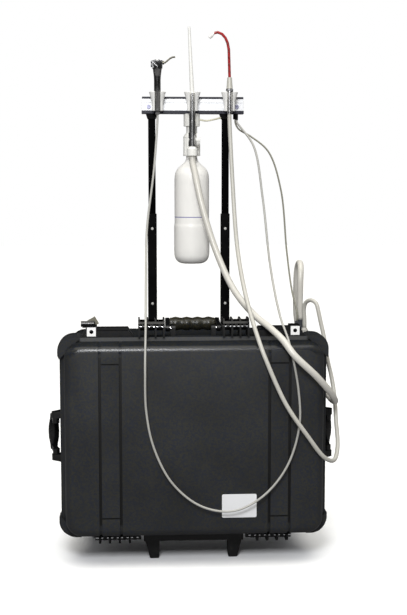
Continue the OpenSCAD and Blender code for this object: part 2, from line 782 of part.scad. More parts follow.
// Rocker on its axle, pressed in at the top
module power_switch() {
    y = panel_y + deck_t / 2;
    color("#b3261e") {
        standing_side(switch_x - 8, switch_x + 8) translate([y, switch_z])
            polygon([[-3.5, 10.6], [-5, 0], [-8, -10.2], [2, -8], [2, 8]]);
        bar_x(switch_x - 10, switch_x + 10, y, switch_z, 1);
    }
}

// ---------------------------------------------------------------- lid

// Skin of the lid's face between its surface and the groove's floor
module lid_grooves() {
    intersection() {
        difference() {
            translate([0, -EPS, 0]) shell_skin(-1, lid_d, 1, 4);
            translate([0, -EPS + groove_d, 0]) shell_skin(-1, lid_d, -groove_d, 4);
        }
        both_sides() {
            for (x = [band_in, band_out])
                block([x - groove_w / 2, face_y - 2, case_z - 2],
                    [x + groove_w / 2, part_y - flange_d - flange_out - 2, case_top + 2]);
            for (z = [case_z + 44, case_top - 44])
                block([band_in, face_y - 2, z - 1.5], [band_out, face_y + groove_d, z + 1.5]);
        }
    }
}

module lid_shell() {
    color("#1d1e20") difference() {
        union() {
            shell_skin(-1, lid_d, 0, 4);
            flange(-1);
            corner_bumpers(-1);
        }
        translate([0, EPS, 0]) shell_skin(-1, lid_d, -wall, 3);
        lid_grooves();
    }
}

// Soft ring in the lid that the base's rim presses on
module lid_seal() {
    color("#0e0e0e") standing(part_y - 6, part_y - 0.2) translate([0, case_mid]) difference() {
        rounded_square(case_w - 2 * wall - 1.6, case_h - 2 * wall - 1.6, corner_r - wall);
        rounded_square(case_w - 2 * wall - 10, case_h - 2 * wall - 10, corner_r - wall - 5);
    }
}

// Knuckles between the fins, on arms from the lid's flange
module hinge_knuckles() {
    both_sides() for (i = [0:hinge_fins - 1]) {
        x = fin_x(i) - hinge_pitch / 2;
        difference() {
            union() {
                bar_x(x - knuckle_w / 2, x + knuckle_w / 2, part_y, hinge_z, knuckle_r);
                standing_side(x - knuckle_w / 2, x + knuckle_w / 2)
                    polygon([[part_y - 2, hinge_z - 5.5], [part_y - 2, flange_low],
                        [part_y - flange_d, flange_low], [part_y - 5.5, hinge_z - 1]]);
            }
            bar_x(x - knuckle_w, x + knuckle_w, part_y, hinge_z, hinge_pin_r + RUN);
        }
    }
}

// Plate between x0 and x1 whose outline is drawn in Y and Z
module standing_side(x0, x1) {
    translate([x0, 0, 0]) rotate([90, 0, 90]) linear_extrude(x1 - x0) children();
}

// Fittings on the lid's flange: hinge knuckles, latch lugs and the crest with its padlock tabs
module lid_knuckles() {
    color("#1d1e20") {
        crest(part_y - crest_d, part_y, crest_z, part_y - crest_d);
        hinge_knuckles();
        latch_lugs(latch_y, latch_z, latch_pin_r);
    }
}

module latch_pivot_pins() {
    color("#e2e4e6") both_sides()
        bar_x(latch_x - latch_w / 2, latch_x + latch_w / 2, latch_y, latch_z, latch_pin_r);
}

module padlock_plates() {
    color("#e6e8ea") padlock_plate(part_y - crest_d - plate_t);
}

// ---------------------------------------------------------------- latches, handles, wheels

// Latch lever: knuckles between the lugs, ribbed plate, and the hook behind the catch pin
module latch(side) {
    x0 = latch_x - latch_w / 2;
    x1 = latch_x + latch_w / 2;
    color("#17181a") mirror([side < 0 ? 1 : 0, 0, 0]) difference() {
        union() {
            for (i = [0:2]) {
                x = lug_x(i) + lug_gap / 2;
                bar_x(x - 3.5, x + 3.5, latch_y, latch_z, 5.5);
                block([x - 3.5, latch_y - 4, latch_z], [x + 3.5, latch_y + 4, lever_z + 1]);
            }
            standing_side(x0, x1) polygon([[latch_y - 6, lever_z], [latch_y - 3, lever_z + 5],
                [catch_y + 12, lever_z + 4], [catch_y + 14, lever_z], [catch_y + 13, catch_z - 9],
                [catch_y + 9, catch_z - 10], [catch_y + 7, lever_z]]);
            for (i = [0:3])
                standing_side(lug_x(i) - 1.8, lug_x(i) + 1.8) polygon([[latch_y - 3, lever_z + 4],
                    [latch_y + 3, lever_z + 11], [catch_y, lever_z + 11], [catch_y + 12, lever_z + 3]]);
        }
        bar_x(x0 - EPS, x1 + EPS, latch_y, latch_z, latch_pin_r + RUN);
    }
}

module latch_left() {
    latch(-1);
}

module latch_right() {
    latch(1);
}

// The two arms of the front handle
module front_handle() {
    color("#1a1b1d") {
        both_sides() difference() {
            hull() {
                bar_x(arm_in, arm_in + arm_w, pivot_y, pivot_z, 8);
                bar_x(arm_in, arm_in + arm_w, grip_y, grip_z, 14);
            }
            bar_x(arm_in - 1, arm_in + arm_w + 1, pivot_y, pivot_z, handle_pin_r + RUN);
        }
        bar_x(-arm_in, arm_in, grip_y, grip_z, 6);
    }
}

// Rubber grip with finger swells round the handle's bar
module front_grip() {
    half = grip_x - 0.3;
    color("#33352f") translate([0, grip_y, grip_z]) rotate([0, 90, 0])
        rotate_extrude() polygon(concat([[6, -half], [grip_r - 3, -half]],
            [for (i = [0:24]) let (u = -half + 2 + (2 * half - 4) * i / 24)
                [grip_r - 1.2 + 1.2 * cos(360 * 4 * i / 24 + 180), u]],
            [[grip_r - 3, half], [6, half]]));
}

// Bail of a side handle with a swelling grip, pivoting on upright pins
module side_handle() {
    y1 = side_y + 50;
    color("#1a1b1d") difference() {
        union() {
            for (s = [-1, 1]) translate([side_x, 0, side_z + s * (side_half - 6.5) - 6]) {
                translate([0, side_y, 0]) cylinder(r = 8, h = 12);
                block([-6, side_y, 0], [6, y1, 12]);
            }
            translate([side_x, y1, side_z]) rotate_extrude() polygon([[0, -side_half + 0.5],
                [8, -side_half + 0.5], [9, -side_half + 12], [12, -14], [12.6, 0], [12, 14],
                [9, side_half - 12], [8, side_half - 0.5], [0, side_half - 0.5]]);
        }
        translate([side_x, side_y, side_z - side_half - 1])
            cylinder(r = side_pin_r + RUN, h = 2 * side_half + 2);
    }
}

// A side handle turned outwards on its pins by a number of degrees
module swung(angle) {
    translate([side_x, side_y, 0]) rotate(-angle) translate([-side_x, -side_y, 0]) children();
}

module side_handle_left() {
    mirror([1, 0, 0]) swung(side_swing[0]) side_handle();
}

module side_handle_right() {
    swung(side_swing[1]) side_handle();
}

// Wheel with a rounded tyre, a web with holes and a hub on its axle
module wheel() {
    color("#222326") translate([wheel_x - wheel_w / 2, wheel_y, wheel_r]) rotate([0, 90, 0]) difference() {
        rotate_extrude() polygon([[0, 0.5], [13, 0.5], [14, 6], [wheel_r - 13, 6],
            [wheel_r - 11, 1], [wheel_r - 4, 1], [wheel_r, 6], [wheel_r, wheel_w - 6],
            [wheel_r - 4, wheel_w - 1], [wheel_r - 11, wheel_w - 1], [wheel_r - 13, wheel_w - 6],
            [14, wheel_w - 6], [13, wheel_w - 0.5], [0, wheel_w - 0.5]]);
        translate([0, 0, -1]) cylinder(r = axle_r + RUN, h = wheel_w + 2);
        for (a = [0:72:288]) rotate(a) translate([22, 0, -1]) cylinder(r = 5.5, h = wheel_w + 2);
    }
}

module wheel_left() {
    mirror([1, 0, 0]) wheel();
}

module wheel_right() {
    wheel();
}

// ---------------------------------------------------------------- trolley and rail

module trolley_sleeves() {
    color("#141416") for (s = [-1, 1]) translate([s * tube_x, tube_y])
        upright(sleeve_top - sleeve_len, sleeve_top) difference() {
            tube_outline(sleeve_w, sleeve_dp);
            tube_outline(upper_w + 2 * GAP, upper_d + 2 * GAP);
        }
}

module sleeve_rivets() {
    y = tube_y - sleeve_dp / 2;
    color("#e8e8e8") for (s = [-1, 1], z = [sleeve_top - 36, case_top + 60])
        translate([s * tube_x, y, z]) rotate([90, 0, 0]) {
            cylinder(r = 3.2, h = 0.8);
            translate([0, 0, 0.8]) cylinder(r1 = 3.2, r2 = 1.8, h = 0.9);
        }
}

module upper_tubes() {
    color("#1b1c1e") for (s = [-1, 1]) translate([s * tube_x, tube_y])
        upright(rail_z - upper_len, rail_z) difference() {
            tube_outline(upper_w, upper_d);
            tube_outline(upper_w - 3, upper_d - 3);
        }
}

// Tapered collars that hold the tubes under the rail, and the outlets of the thin hoses
module rail_fittings() {
    h = 12;
    color("#101012") {
        for (s = [-1, 1]) difference() {
            standing(rail_y - 9, rail_y + 9) translate([s * tube_x, rail_z])
                polygon([[-14, 0], [14, 0], [10, -h], [-10, -h]]);
            translate([s * tube_x, tube_y]) upright(rail_z - h - 1, rail_z + 1)
                tube_outline(upper_w + 0.1, upper_d + 0.1);
        }
        translate([supply_exit.x, supply_exit.y, rail_z - h]) cylinder(r = 5.5, h = h);
        translate([air_exit.x, air_exit.y, rail_z - 14]) cylinder(r = 3.5, h = 14);
    }
}

// Aluminium extrusion with a slot along its front and its back
module rail() {
    color("#eceeef") difference() {
        block([rail_left, rail_front, rail_bar], [rail_right, rail_front + rail_d, rail_top]);
        for (s = [-1, 1]) {
            y = rail_y + s * rail_d / 2;
            block([rail_left - 1, y - 1.6, rail_top - 11], [rail_right + 1, y + 1.6, rail_top - 9]);
        }
        for (s = [-1, 1]) translate([s * (rail_len / 2 - 16) + rail_mid, rail_y, rail_bar + 9])
            rotate([90, 0, 0]) cylinder(r = 3, h = rail_d + 2, center = true);
    }
}

// Black strips over and under the extrusion
module rail_strips() {
    color("#14151c") {
        block([rail_left - 1, rail_front - 1, rail_z], [rail_right + 1, rail_front + rail_d + 1, rail_bar]);
        difference() {
            block([rail_left, rail_front - 0.5, rail_top],
                [rail_right, rail_front + rail_d + 0.5, rail_top + rail_over]);
            block([rail_left - 1, rail_y - 4, rail_top + 2], [rail_right + 1, rail_y + 4, rail_top + 9]);
        }
    }
}

module rail_bolts() {
    color("#b8bbbf") for (s = [-1, 1])
        translate([s * (rail_len / 2 - 16) + rail_mid, rail_front - 3, rail_bar + 9])
            rotate([-90, 0, 0]) {
                difference() {
                    cylinder(r = 5, h = 3);
                    translate([0, 0, -1]) cylinder(r = 2.4, h = 3, $fn = 6);
                }
                translate([0, 0, 3]) cylinder(r = 2.95, h = rail_d - 1);
            }
}

// Open funnel that an instrument stands in, on an arm from the rail
module holder(x, bore) {
    translate([x, hold_y, hold_z]) difference() {
        union() {
            rotate_extrude() polygon([[bore + GAP, 0], [bore + 5, 0], [bore + 5.5, 22],
                [bore + 12, hold_h - 1], [bore + 11, hold_h], [bore + 9, hold_h],
                [bore + 1.2, 22]]);
            block([-9, bore + 2.5, 6], [9, reach, 30]);
        }
        block([-bore + 1, -bore - 20, -1], [bore - 1, 0, hold_h + 1]);
        cylinder(r = bore + GAP, h = hold_h);
    }
}

module instrument_holders() {
    color("#f1f1ee") {
        holder(syringe_x, syringe_r);
        holder(suction_x, suction_r);
        holder(saliva_x, saliva_r);
    }
}

// ---------------------------------------------------------------- water bottle

module bottle_head() {
    color("#e9e9e4") translate([bottle_x, rail_y, cap_top]) {
        cylinder(r = 13, h = stem_h);
        translate([0, 0, stem_h]) cylinder(r = 19.3, h = head_h);
    }
}

module bottle_cap() {
    color("#f2f2ef") translate([bottle_x, rail_y, cap_low]) difference() {
        union() {
            cylinder(r = cap_r, h = cap_h - 8);
            translate([0, 0, cap_h - 8]) cylinder(r1 = cap_r, r2 = 15, h = 8);
        }
        translate([0, 0, -1]) cylinder(r = neck_r + GAP, h = 31);
        for (a = [0:20:340]) rotate(a) translate([cap_r + 0.8, 0, 4]) cylinder(r = 1.6, h = cap_h - 14);
    }
}

// Blown bottle: stepped side, round shoulder and a neck inside the cap
module bottle() {
    step = 93;
    side_h = shoulder_z - bottle_z;
    r1 = bottle_r - 1;
    outer = concat([[0, 3], [bottle_r - 22, 0], [bottle_r - 9, 0], [bottle_r - 2.5, 2.5], [bottle_r, 9],
        [bottle_r, step - 3], [r1, step]],
        [for (i = [0:8]) let (a = 90 * i / 8)
            [neck_r + (r1 - neck_r) * cos(a), side_h + (dome_h - 6) * sin(a)]],
        [[neck_r, cap_low - bottle_z + 29], [0, cap_low - bottle_z + 29]]);
    t = bottle_wall;
    inner = concat([[0, 3 + t], [bottle_r - 22, t], [bottle_r - 9, t], [bottle_r - t, 9],
        [bottle_r - t, step - 3], [r1 - t, step]],
        [for (i = [0:8]) let (a = 90 * i / 8)
            [neck_r - t + (r1 - neck_r) * cos(a), side_h + (dome_h - 6 - t) * sin(a)]],
        [[neck_r - t, cap_low - bottle_z + 40], [0, cap_low - bottle_z + 40]]);
    color("#e4e6e3") translate([bottle_x, rail_y, bottle_z]) difference() {
        rotate_extrude() polygon(outer);
        rotate_extrude() polygon(inner);
    }
}

// ---------------------------------------------------------------- instruments

// Syringe handle that widens into a head, with a pocket for each button
module syringe_body() {
    color("#c9cccf") translate([syringe_x, hold_y, syringe_z]) difference() {
        union() {
            rotate_extrude() polygon([[0, 0], [4.5, 0], [5.5, 3], [5.5, 9], [syringe_r - 1, 11],
                [syringe_r, 14], [syringe_r, 80], [8.4, 90], [10.5, 106], [10.5, 112], [0, 112]]);
            translate([-head_x, -9, 107]) cube([2 * head_x, 18, head_top - 107]);
            translate([0, 0, head_top]) cylinder(r1 = 8, r2 = 6, h = 2);
        }
        for (z = button_zs) translate([-head_x - EPS, 0, z]) rotate([0, 90, 0])
            cylinder(r = button_r + RUN, h = 7 + EPS);
    }
}

// Thin bent nozzle with its locking nut, on the right of the head
module syringe_nozzle() {
    z = syringe_z + head_top - 5;
    x = syringe_x + head_x;
    color("#dcdfe2") {
        bar_x(x, x + 4, hold_y, z, 4.2);
        swept([[x + 4, hold_y, z], [x + 6, hold_y, z], [x + 12, hold_y, z + 5],
            [x + 18, hold_y, z + 10], [x + 24, hold_y, z + 13], [x + 30, hold_y, z + 13.5]], 4, 10);
    }
}

// Plunger of one of the syringe's valves
module syringe_button(z) {
    translate([syringe_x - head_x - button_out, hold_y, syringe_z + z]) rotate([0, 90, 0])
        cylinder(r = button_r, h = button_out + 4);
}

module air_button() {
    color("#1c1c1e") syringe_button(button_zs[1]);
}

module water_button() {
    color("#1c1c1e") syringe_button(button_zs[0]);
}

// Handpiece of the suction line: tube, valve housing and the spool's cross bore
module suction_body() {
    color("#b4b8bc") translate([suction_x, hold_y, 0]) difference() {
        union() {
            translate([0, 0, knob_z]) cylinder(r = suction_r, h = tip_z - knob_z);
            translate([0, 0, knob_z - 16]) cylinder(r = 9, h = 32);
        }
        bar_x(-10, 10, 0, knob_z, 5 + RUN);
        translate([0, 0, tip_z - 20]) cylinder(r = 5.8, h = 21);
    }
}

// Spool that crosses the handpiece, with its thumb wheel on the right
module suction_valve() {
    color("#f0f0ec") translate([suction_x, hold_y, 0]) difference() {
        union() {
            bar_x(-8, 10, 0, knob_z, 5);
            bar_x(9.5, 18, 0, knob_z, 14.5);
        }
        for (a = [0:40:320]) translate([0, 0, knob_z]) rotate([a, 0, 0])
            bar_x(9, 19, 0, 15.5, 2);
    }
}

module suction_coupler() {
    low = suction_end;
    color("#f0f0ec") translate([suction_x, hold_y, low]) {
        cylinder(r = 12, h = 16);
        translate([0, 0, 16]) cylinder(r1 = 12, r2 = 8, h = knob_z - 16 - low - 16);
    }
}

// Tapered cannula, leaning a little to the left
module suction_tip() {
    color("#f6f6f2") translate([suction_x, hold_y, tip_z - 20]) {
        cylinder(r = 5.8, h = 20);
        translate([0, 0, 12]) rotate([0, -2.6, 0]) difference() {
            cylinder(r1 = 5.3, r2 = 3, h = tip_len);
            translate([0, 0, tip_len - 33]) cylinder(r = 1.9, h = 40);
        }
    }
}

// Handpiece of the saliva ejector with the stem that its valve collar turns on
module saliva_body() {
    color("#b4b8bc") translate([saliva_x, hold_y, saliva_end]) {
        cylinder(r = 6, h = 4);
        translate([0, 0, 4]) cylinder(r = saliva_r, h = 48);
        cylinder(r = 4, h = 64);
    }
}

module saliva_valve() {
    color("#9fa3a7") translate([saliva_x, hold_y, saliva_end + 52 + GAP]) difference() {
        cylinder(r = 8.4, h = 6);
        translate([0, 0, -1]) cylinder(r = 4 + RUN, h = 8);
        for (a = [0:30:330]) rotate(a) translate([8.8, 0, -1]) cylinder(r = 0.8, h = 8);
    }
}

module saliva_adapter() {
    color("#cfcdc4") translate([saliva_x, hold_y, saliva_end + 58 + 2 * GAP]) difference() {
        cylinder(r1 = 7.4, r2 = 5.4, h = bend_z - saliva_end - 58 - 2 * GAP);
        translate([0, 0, -1]) cylinder(r = 4, h = 7 - 2 * GAP);
    }
}

// Disposable tube, bent over at the top, with its tip
module saliva_tube() {
    bend = [for (p = SALIVA_BEND) p + [saliva_x, hold_y, bend_z]];
    last = bend[len(bend) - 1];
    color("#b0332f") {
        swept(bend, 6.6, 12);
        translate(last) rotate([0, -135, 0]) cylinder(r1 = 4.6, r2 = 3.6, h = 8);
    }
}

// ---------------------------------------------------------------- hoses

module syringe_hose() {
    color("#cfccc2") swept(SYRINGE_HOSE, syringe_hose_d, 8);
}

module supply_hose() {
    color("#77776a") swept(SUPPLY_HOSE, supply_hose_d, 8);
}

module suction_hose() {
    color("#d8d5ca") swept(SUCTION_HOSE, suction_hose_d, 10);
}

module saliva_hose() {
    color("#d2cfc4") swept(SALIVA_HOSE, saliva_hose_d, 8);
}

module air_line() {
    color("#b3a988") swept(AIR_LINE, 4, 8);
}

base_shell();
stand_feet();
base_hinge_blocks();
base_lugs();
steel_pins();
trolley_guides();
fixed_tubes();
hose_glands();
saliva_port();
air_inlet_bracket();
air_inlet_coupling();
equipment_panel();
compressor();
air_tank();
waste_canister();
power_inlet();
pressure_gauge();
regulator_knob();
power_switch();
lid_shell();
lid_seal();
lid_knuckles();
latch_pivot_pins();
padlock_plates();
latch_left();
latch_right();
front_handle();
front_grip();
side_handle_left();
side_handle_right();
wheel_left();
wheel_right();
trolley_sleeves();
sleeve_rivets();
upper_tubes();
rail_fittings();
rail();
rail_strips();
rail_bolts();
instrument_holders();
bottle_head();
bottle_cap();
bottle();
syringe_body();
syringe_nozzle();
air_button();
water_button();
suction_body();
suction_coupler();
suction_tip();
suction_valve();
saliva_body();
saliva_valve();
saliva_adapter();
saliva_tube();
syringe_hose();
supply_hose();
suction_hose();
saliva_hose();
air_line();
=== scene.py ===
"""Looks of the portable dental unit: a moulded case on end, its trolley, the rail and the hoses.

Every length is in metres in the CAD model's own frame. +Z is up, the lid faces -Y and the
viewer who faces the lid has +X on the right.
"""

import json
import math

import bmesh
import bpy
import numpy as np
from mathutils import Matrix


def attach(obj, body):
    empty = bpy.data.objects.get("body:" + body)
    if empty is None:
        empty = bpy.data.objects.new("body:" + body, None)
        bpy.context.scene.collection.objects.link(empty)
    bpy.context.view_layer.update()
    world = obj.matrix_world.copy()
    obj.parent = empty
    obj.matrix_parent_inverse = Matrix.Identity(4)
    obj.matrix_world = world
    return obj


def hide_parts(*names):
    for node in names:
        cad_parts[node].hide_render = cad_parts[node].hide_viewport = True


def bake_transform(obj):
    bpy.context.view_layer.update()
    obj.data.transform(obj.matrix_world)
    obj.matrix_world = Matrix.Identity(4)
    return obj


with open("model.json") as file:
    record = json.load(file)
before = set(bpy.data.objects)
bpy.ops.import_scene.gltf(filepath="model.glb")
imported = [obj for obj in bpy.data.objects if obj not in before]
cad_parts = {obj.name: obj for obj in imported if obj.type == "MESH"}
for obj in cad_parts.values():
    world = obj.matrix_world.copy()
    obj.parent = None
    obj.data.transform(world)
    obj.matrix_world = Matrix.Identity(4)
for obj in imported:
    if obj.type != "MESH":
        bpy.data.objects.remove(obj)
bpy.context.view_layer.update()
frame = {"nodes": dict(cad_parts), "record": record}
nodes = frame["nodes"]
scene = bpy.context.scene
body_of = {n: body for body, held in frame["record"]["behaviour"]["bodies"].items() for n in held}

# ---------------------------------------------------------------- camera
# The photograph was taken from the height of the water bottle, a little left of the unit's
# middle and looking slightly down and to the right, with a long lens.
VIEW_SPOT = (-0.133, -2.596, 0.843)
VIEW_DOWN = 6.05
VIEW_RIGHT = 3.55
PHOTO_LONG_SIDE = 615
FOCAL_PIXELS = 1126
camera_data = bpy.data.cameras.new("camera")
camera_data.sensor_width = 36
camera_data.lens = camera_data.sensor_width * FOCAL_PIXELS / PHOTO_LONG_SIDE
camera = bpy.data.objects.new("camera", camera_data)
camera.location = VIEW_SPOT
camera.rotation_euler = (math.radians(90 - VIEW_DOWN), 0, -math.radians(VIEW_RIGHT))
scene.collection.objects.link(camera)
scene.camera = camera


# ---------------------------------------------------------------- hoses
# Five soft hoses join the rail to the case. The suction and saliva hoses are thick-walled
# silicone, the syringe's is a thin twin-bore line and the supply hose is two tubes welded
# side by side. Each is cut to length and pushed over barbed fittings at both ends.
def curve_through(points, spacing):
    """Points every spacing along a centripetal Catmull-Rom curve through the given points.

    Between two points the curve is the cubic that passes through both and is parallel, at
    each, to the line that joins that point's neighbours, with knots spaced by the square
    root of the distance."""
    p = np.asarray(points, float)
    p = np.vstack([2 * p[0] - p[1], p, 2 * p[-1] - p[-2]])
    fine = []
    for i in range(1, len(p) - 2):
        a, b, c, d = p[i - 1:i + 3]
        t0 = 0.0
        t1 = t0 + np.sqrt(np.linalg.norm(b - a))
        t2 = t1 + np.sqrt(np.linalg.norm(c - b))
        t3 = t2 + np.sqrt(np.linalg.norm(d - c))
        t = np.linspace(t1, t2, 40, endpoint=False)[:, None]
        ab = (t1 - t) / (t1 - t0) * a + (t - t0) / (t1 - t0) * b
        bc = (t2 - t) / (t2 - t1) * b + (t - t1) / (t2 - t1) * c
        cd = (t3 - t) / (t3 - t2) * c + (t - t2) / (t3 - t2) * d
        abc = (t2 - t) / (t2 - t0) * ab + (t - t0) / (t2 - t0) * bc
        bcd = (t3 - t) / (t3 - t1) * bc + (t - t1) / (t3 - t1) * cd
        fine.append((t2 - t) / (t2 - t1) * abc + (t - t1) / (t2 - t1) * bcd)
    fine = np.vstack(fine + [p[-2:-1]])
    run = np.concatenate([[0], np.cumsum(np.linalg.norm(np.diff(fine, axis=0), axis=1))])
    count = max(4, int(run[-1] / spacing) + 1)
    at = np.linspace(0, run[-1], count)
    return np.column_stack([np.interp(at, run, fine[:, k]) for k in range(3)])


def carried_frames(path):
    """Two unit vectors square to the path at each point, turned as little as can be.

    The first vector at a point is the one before it, less its part along the path's new
    direction, made unit length again. The second is the direction crossed with the first."""
    ahead = np.gradient(path, axis=0)
    ahead /= np.linalg.norm(ahead, axis=1)[:, None]
    start = np.cross(ahead[0], [1.0, 0, 0] if abs(ahead[0][0]) < 0.9 else [0, 1.0, 0])
    first = np.empty_like(path)
    first[0] = start / np.linalg.norm(start)
    for i in range(1, len(path)):
        v = first[i - 1] - (first[i - 1] @ ahead[i]) * ahead[i]
        first[i] = v / np.linalg.norm(v)
    return first, np.cross(ahead, first)


def grid_faces(rows, cols, wrap=True, caps=True):
    """Quads between neighbouring points of a grid that is stored row by row.

    Point (i, j) is number i * cols + j. With wrap the last column meets the first, and
    with caps the first and last rows are closed by one face each."""
    i, j = np.meshgrid(np.arange(rows - 1), np.arange(cols if wrap else cols - 1), indexing="ij")
    k = (j + 1) % cols
    quads = np.stack([i * cols + j, i * cols + k, (i + 1) * cols + k, (i + 1) * cols + j], -1)
    faces = quads.reshape(-1, 4).tolist()
    if caps:
        faces.append(list(range(cols))[::-1])
        faces.append([(rows - 1) * cols + c for c in range(cols)])
    return faces


def make_piece(name, points, faces, smooth=True):
    """A mesh object at the origin whose points are already in place."""
    mesh = bpy.data.meshes.new(name)
    mesh.from_pydata(np.asarray(points, float).reshape(-1, 3).tolist(), [], faces)
    mesh.polygons.foreach_set("use_smooth", np.full(len(mesh.polygons), smooth))
    mesh.validate()
    mesh.update()
    piece = bpy.data.objects.new(name, mesh)
    scene.collection.objects.link(piece)
    return piece


def along(path, section):
    """Rings of a section carried along a path: path + u * first + v * second for each (u, v)."""
    first, second = carried_frames(path)
    return (path[:, None, :] + section[None, :, 0:1] * first[:, None, :]
            + section[None, :, 1:2] * second[:, None, :])


def round_section(radius, sides):
    """Points of a circle: radius times the cosine and sine of evenly spaced angles."""
    a = np.linspace(0, 2 * np.pi, sides, endpoint=False)
    return radius * np.column_stack([np.cos(a), np.sin(a)])


def new_group(name, inputs, outputs):
    """An empty shader node group with named inputs (name, kind, default) and outputs."""
    group = bpy.data.node_groups.new(name, "ShaderNodeTree")
    for label, kind, value in inputs:
        socket = group.interface.new_socket(label, in_out="INPUT", socket_type=kind)
        if value is not None:
            socket.default_value = value
    for label, kind in outputs:
        group.interface.new_socket(label, in_out="OUTPUT", socket_type=kind)
    group.nodes.new("NodeGroupInput").name = "in"
    group.nodes.new("NodeGroupOutput").name = "out"
    return group


def wire(tree, *pairs):
    """Links (node, output) to (node, input) for each pair given."""
    for (a, out), (b, into) in pairs:
        tree.links.new(a.outputs[out], b.inputs[into])


def node_of(tree, kind, **values):
    """A new node, with settings by attribute name and inputs by their number after 'i'."""
    made = tree.nodes.new(kind)
    for key, value in values.items():
        if key[0] == "i" and key[1:].isdigit():
            made.inputs[int(key[1:])].default_value = value
        else:
            setattr(made, key, value)
    return made


def make_mottle():
    """Shared effect: handling marks. Low noise shifts the colour, high noise the roughness.

    Colour is the base times 1 plus Amount times the low noise, lifted towards Dust where
    the middle noise is high. Rough is the base roughness plus a share of the high noise."""
    g = new_group("mottle", [("Vector", "NodeSocketVector", None),
                             ("Colour", "NodeSocketColor", (0.1, 0.1, 0.1, 1)),
                             ("Dust", "NodeSocketColor", (0.4, 0.38, 0.34, 1)),
                             ("Amount", "NodeSocketFloat", 0.2),
                             ("Dusty", "NodeSocketFloat", 0.05),
                             ("Rough", "NodeSocketFloat", 0.4),
                             ("Size", "NodeSocketFloat", 12.0)],
                  [("Colour", "NodeSocketColor"), ("Rough", "NodeSocketFloat")])
    n = g.nodes
    low = node_of(g, "ShaderNodeTexNoise", i3=4.0, i4=0.6)
    high = node_of(g, "ShaderNodeTexNoise", i3=3.0, i4=0.7)
    finer = node_of(g, "ShaderNodeMath", operation="MULTIPLY", i1=14.0)
    spread = node_of(g, "ShaderNodeMapRange", i1=0.3, i2=0.7, i3=-1.0, i4=1.0)
    gain = node_of(g, "ShaderNodeMath", operation="MULTIPLY_ADD", i2=1.0)
    shade = node_of(g, "ShaderNodeMix", data_type="RGBA", blend_type="MULTIPLY")
    shade.inputs[0].default_value = 1.0
    spots = node_of(g, "ShaderNodeMapRange", i1=0.55, i2=0.8, i3=0.0, i4=1.0)
    dusting = node_of(g, "ShaderNodeMath", operation="MULTIPLY")
    cover = node_of(g, "ShaderNodeMix", data_type="RGBA")
    rough = node_of(g, "ShaderNodeMath", operation="MULTIPLY_ADD", i1=0.16)
    lift = node_of(g, "ShaderNodeMath", operation="SUBTRACT", i1=0.08)
    wire(g, ((n["in"], "Vector"), (low, 0)), ((n["in"], "Size"), (low, 2)),
         ((n["in"], "Vector"), (high, 0)), ((n["in"], "Size"), (finer, 0)),
         ((finer, 0), (high, 2)),
         ((low, 0), (spread, 0)), ((spread, 0), (gain, 0)), ((n["in"], "Amount"), (gain, 1)),
         ((n["in"], "Colour"), (shade, 6)), ((gain, 0), (shade, 7)),
         ((high, 0), (spots, 0)), ((spots, 0), (dusting, 0)), ((n["in"], "Dusty"), (dusting, 1)),
         ((dusting, 0), (cover, 0)), ((shade, 2), (cover, 6)), ((n["in"], "Dust"), (cover, 7)),
         ((cover, 2), (n["out"], "Colour")),
         ((high, 0), (rough, 0)), ((n["in"], "Rough"), (lift, 0)), ((lift, 0), (rough, 2)),
         ((rough, 0), (n["out"], "Rough")))
    return g


MOTTLE = make_mottle()


def finish_of(name, colour, rough, amount=0.12, dusty=0.03, dust=(0.45, 0.43, 0.4, 1), size=12.0,
              metallic=0.0, coat=0.0, bump=None, **sockets):
    """A material whose colour and roughness come from the mottle, with an optional fine bump.

    bump is (noise scale, depth in metres). sockets are plain values of the shader's own."""
    mat = bpy.data.materials.new(name)
    mat.use_nodes = True
    tree = mat.node_tree
    shader = tree.nodes["Principled BSDF"]
    place = tree.nodes.new("ShaderNodeTexCoord")
    marks = node_of(tree, "ShaderNodeGroup", node_tree=MOTTLE)
    marks.inputs["Colour"].default_value = (*colour, 1)
    marks.inputs["Dust"].default_value = dust
    marks.inputs["Amount"].default_value = amount
    marks.inputs["Dusty"].default_value = dusty
    marks.inputs["Rough"].default_value = rough
    marks.inputs["Size"].default_value = size
    wire(tree, ((place, "Object"), (marks, "Vector")), ((marks, "Colour"), (shader, "Base Color")),
         ((marks, "Rough"), (shader, "Roughness")))
    shader.inputs["Metallic"].default_value = metallic
    shader.inputs["Coat Weight"].default_value = coat
    for key, value in sockets.items():
        shader.inputs[key.replace("_", " ")].default_value = value
    if bump:
        grain = node_of(tree, "ShaderNodeTexNoise", i2=bump[0], i3=3.0, i4=0.6)
        relief = node_of(tree, "ShaderNodeBump")
        relief.inputs["Strength"].default_value = 1.0
        relief.inputs["Distance"].default_value = bump[1]
        wire(tree, ((place, "Object"), (grain, 0)), ((grain, 0), (relief, "Height")),
             ((relief, "Normal"), (shader, "Normal")))
    return mat


def wiring_of(mat):
    """A finish's node tree with its shader, its coordinates and its mottle."""
    tree = mat.node_tree
    place = next(n for n in tree.nodes if n.type == "TEX_COORD")
    marks = next(n for n in tree.nodes if n.type == "GROUP" and n.node_tree == MOTTLE)
    return tree, tree.nodes["Principled BSDF"], place, marks


def paint(piece, mat):
    """Puts one material on a piece in place of what it had."""
    piece.data.materials.clear()
    piece.data.materials.append(mat)
    return piece


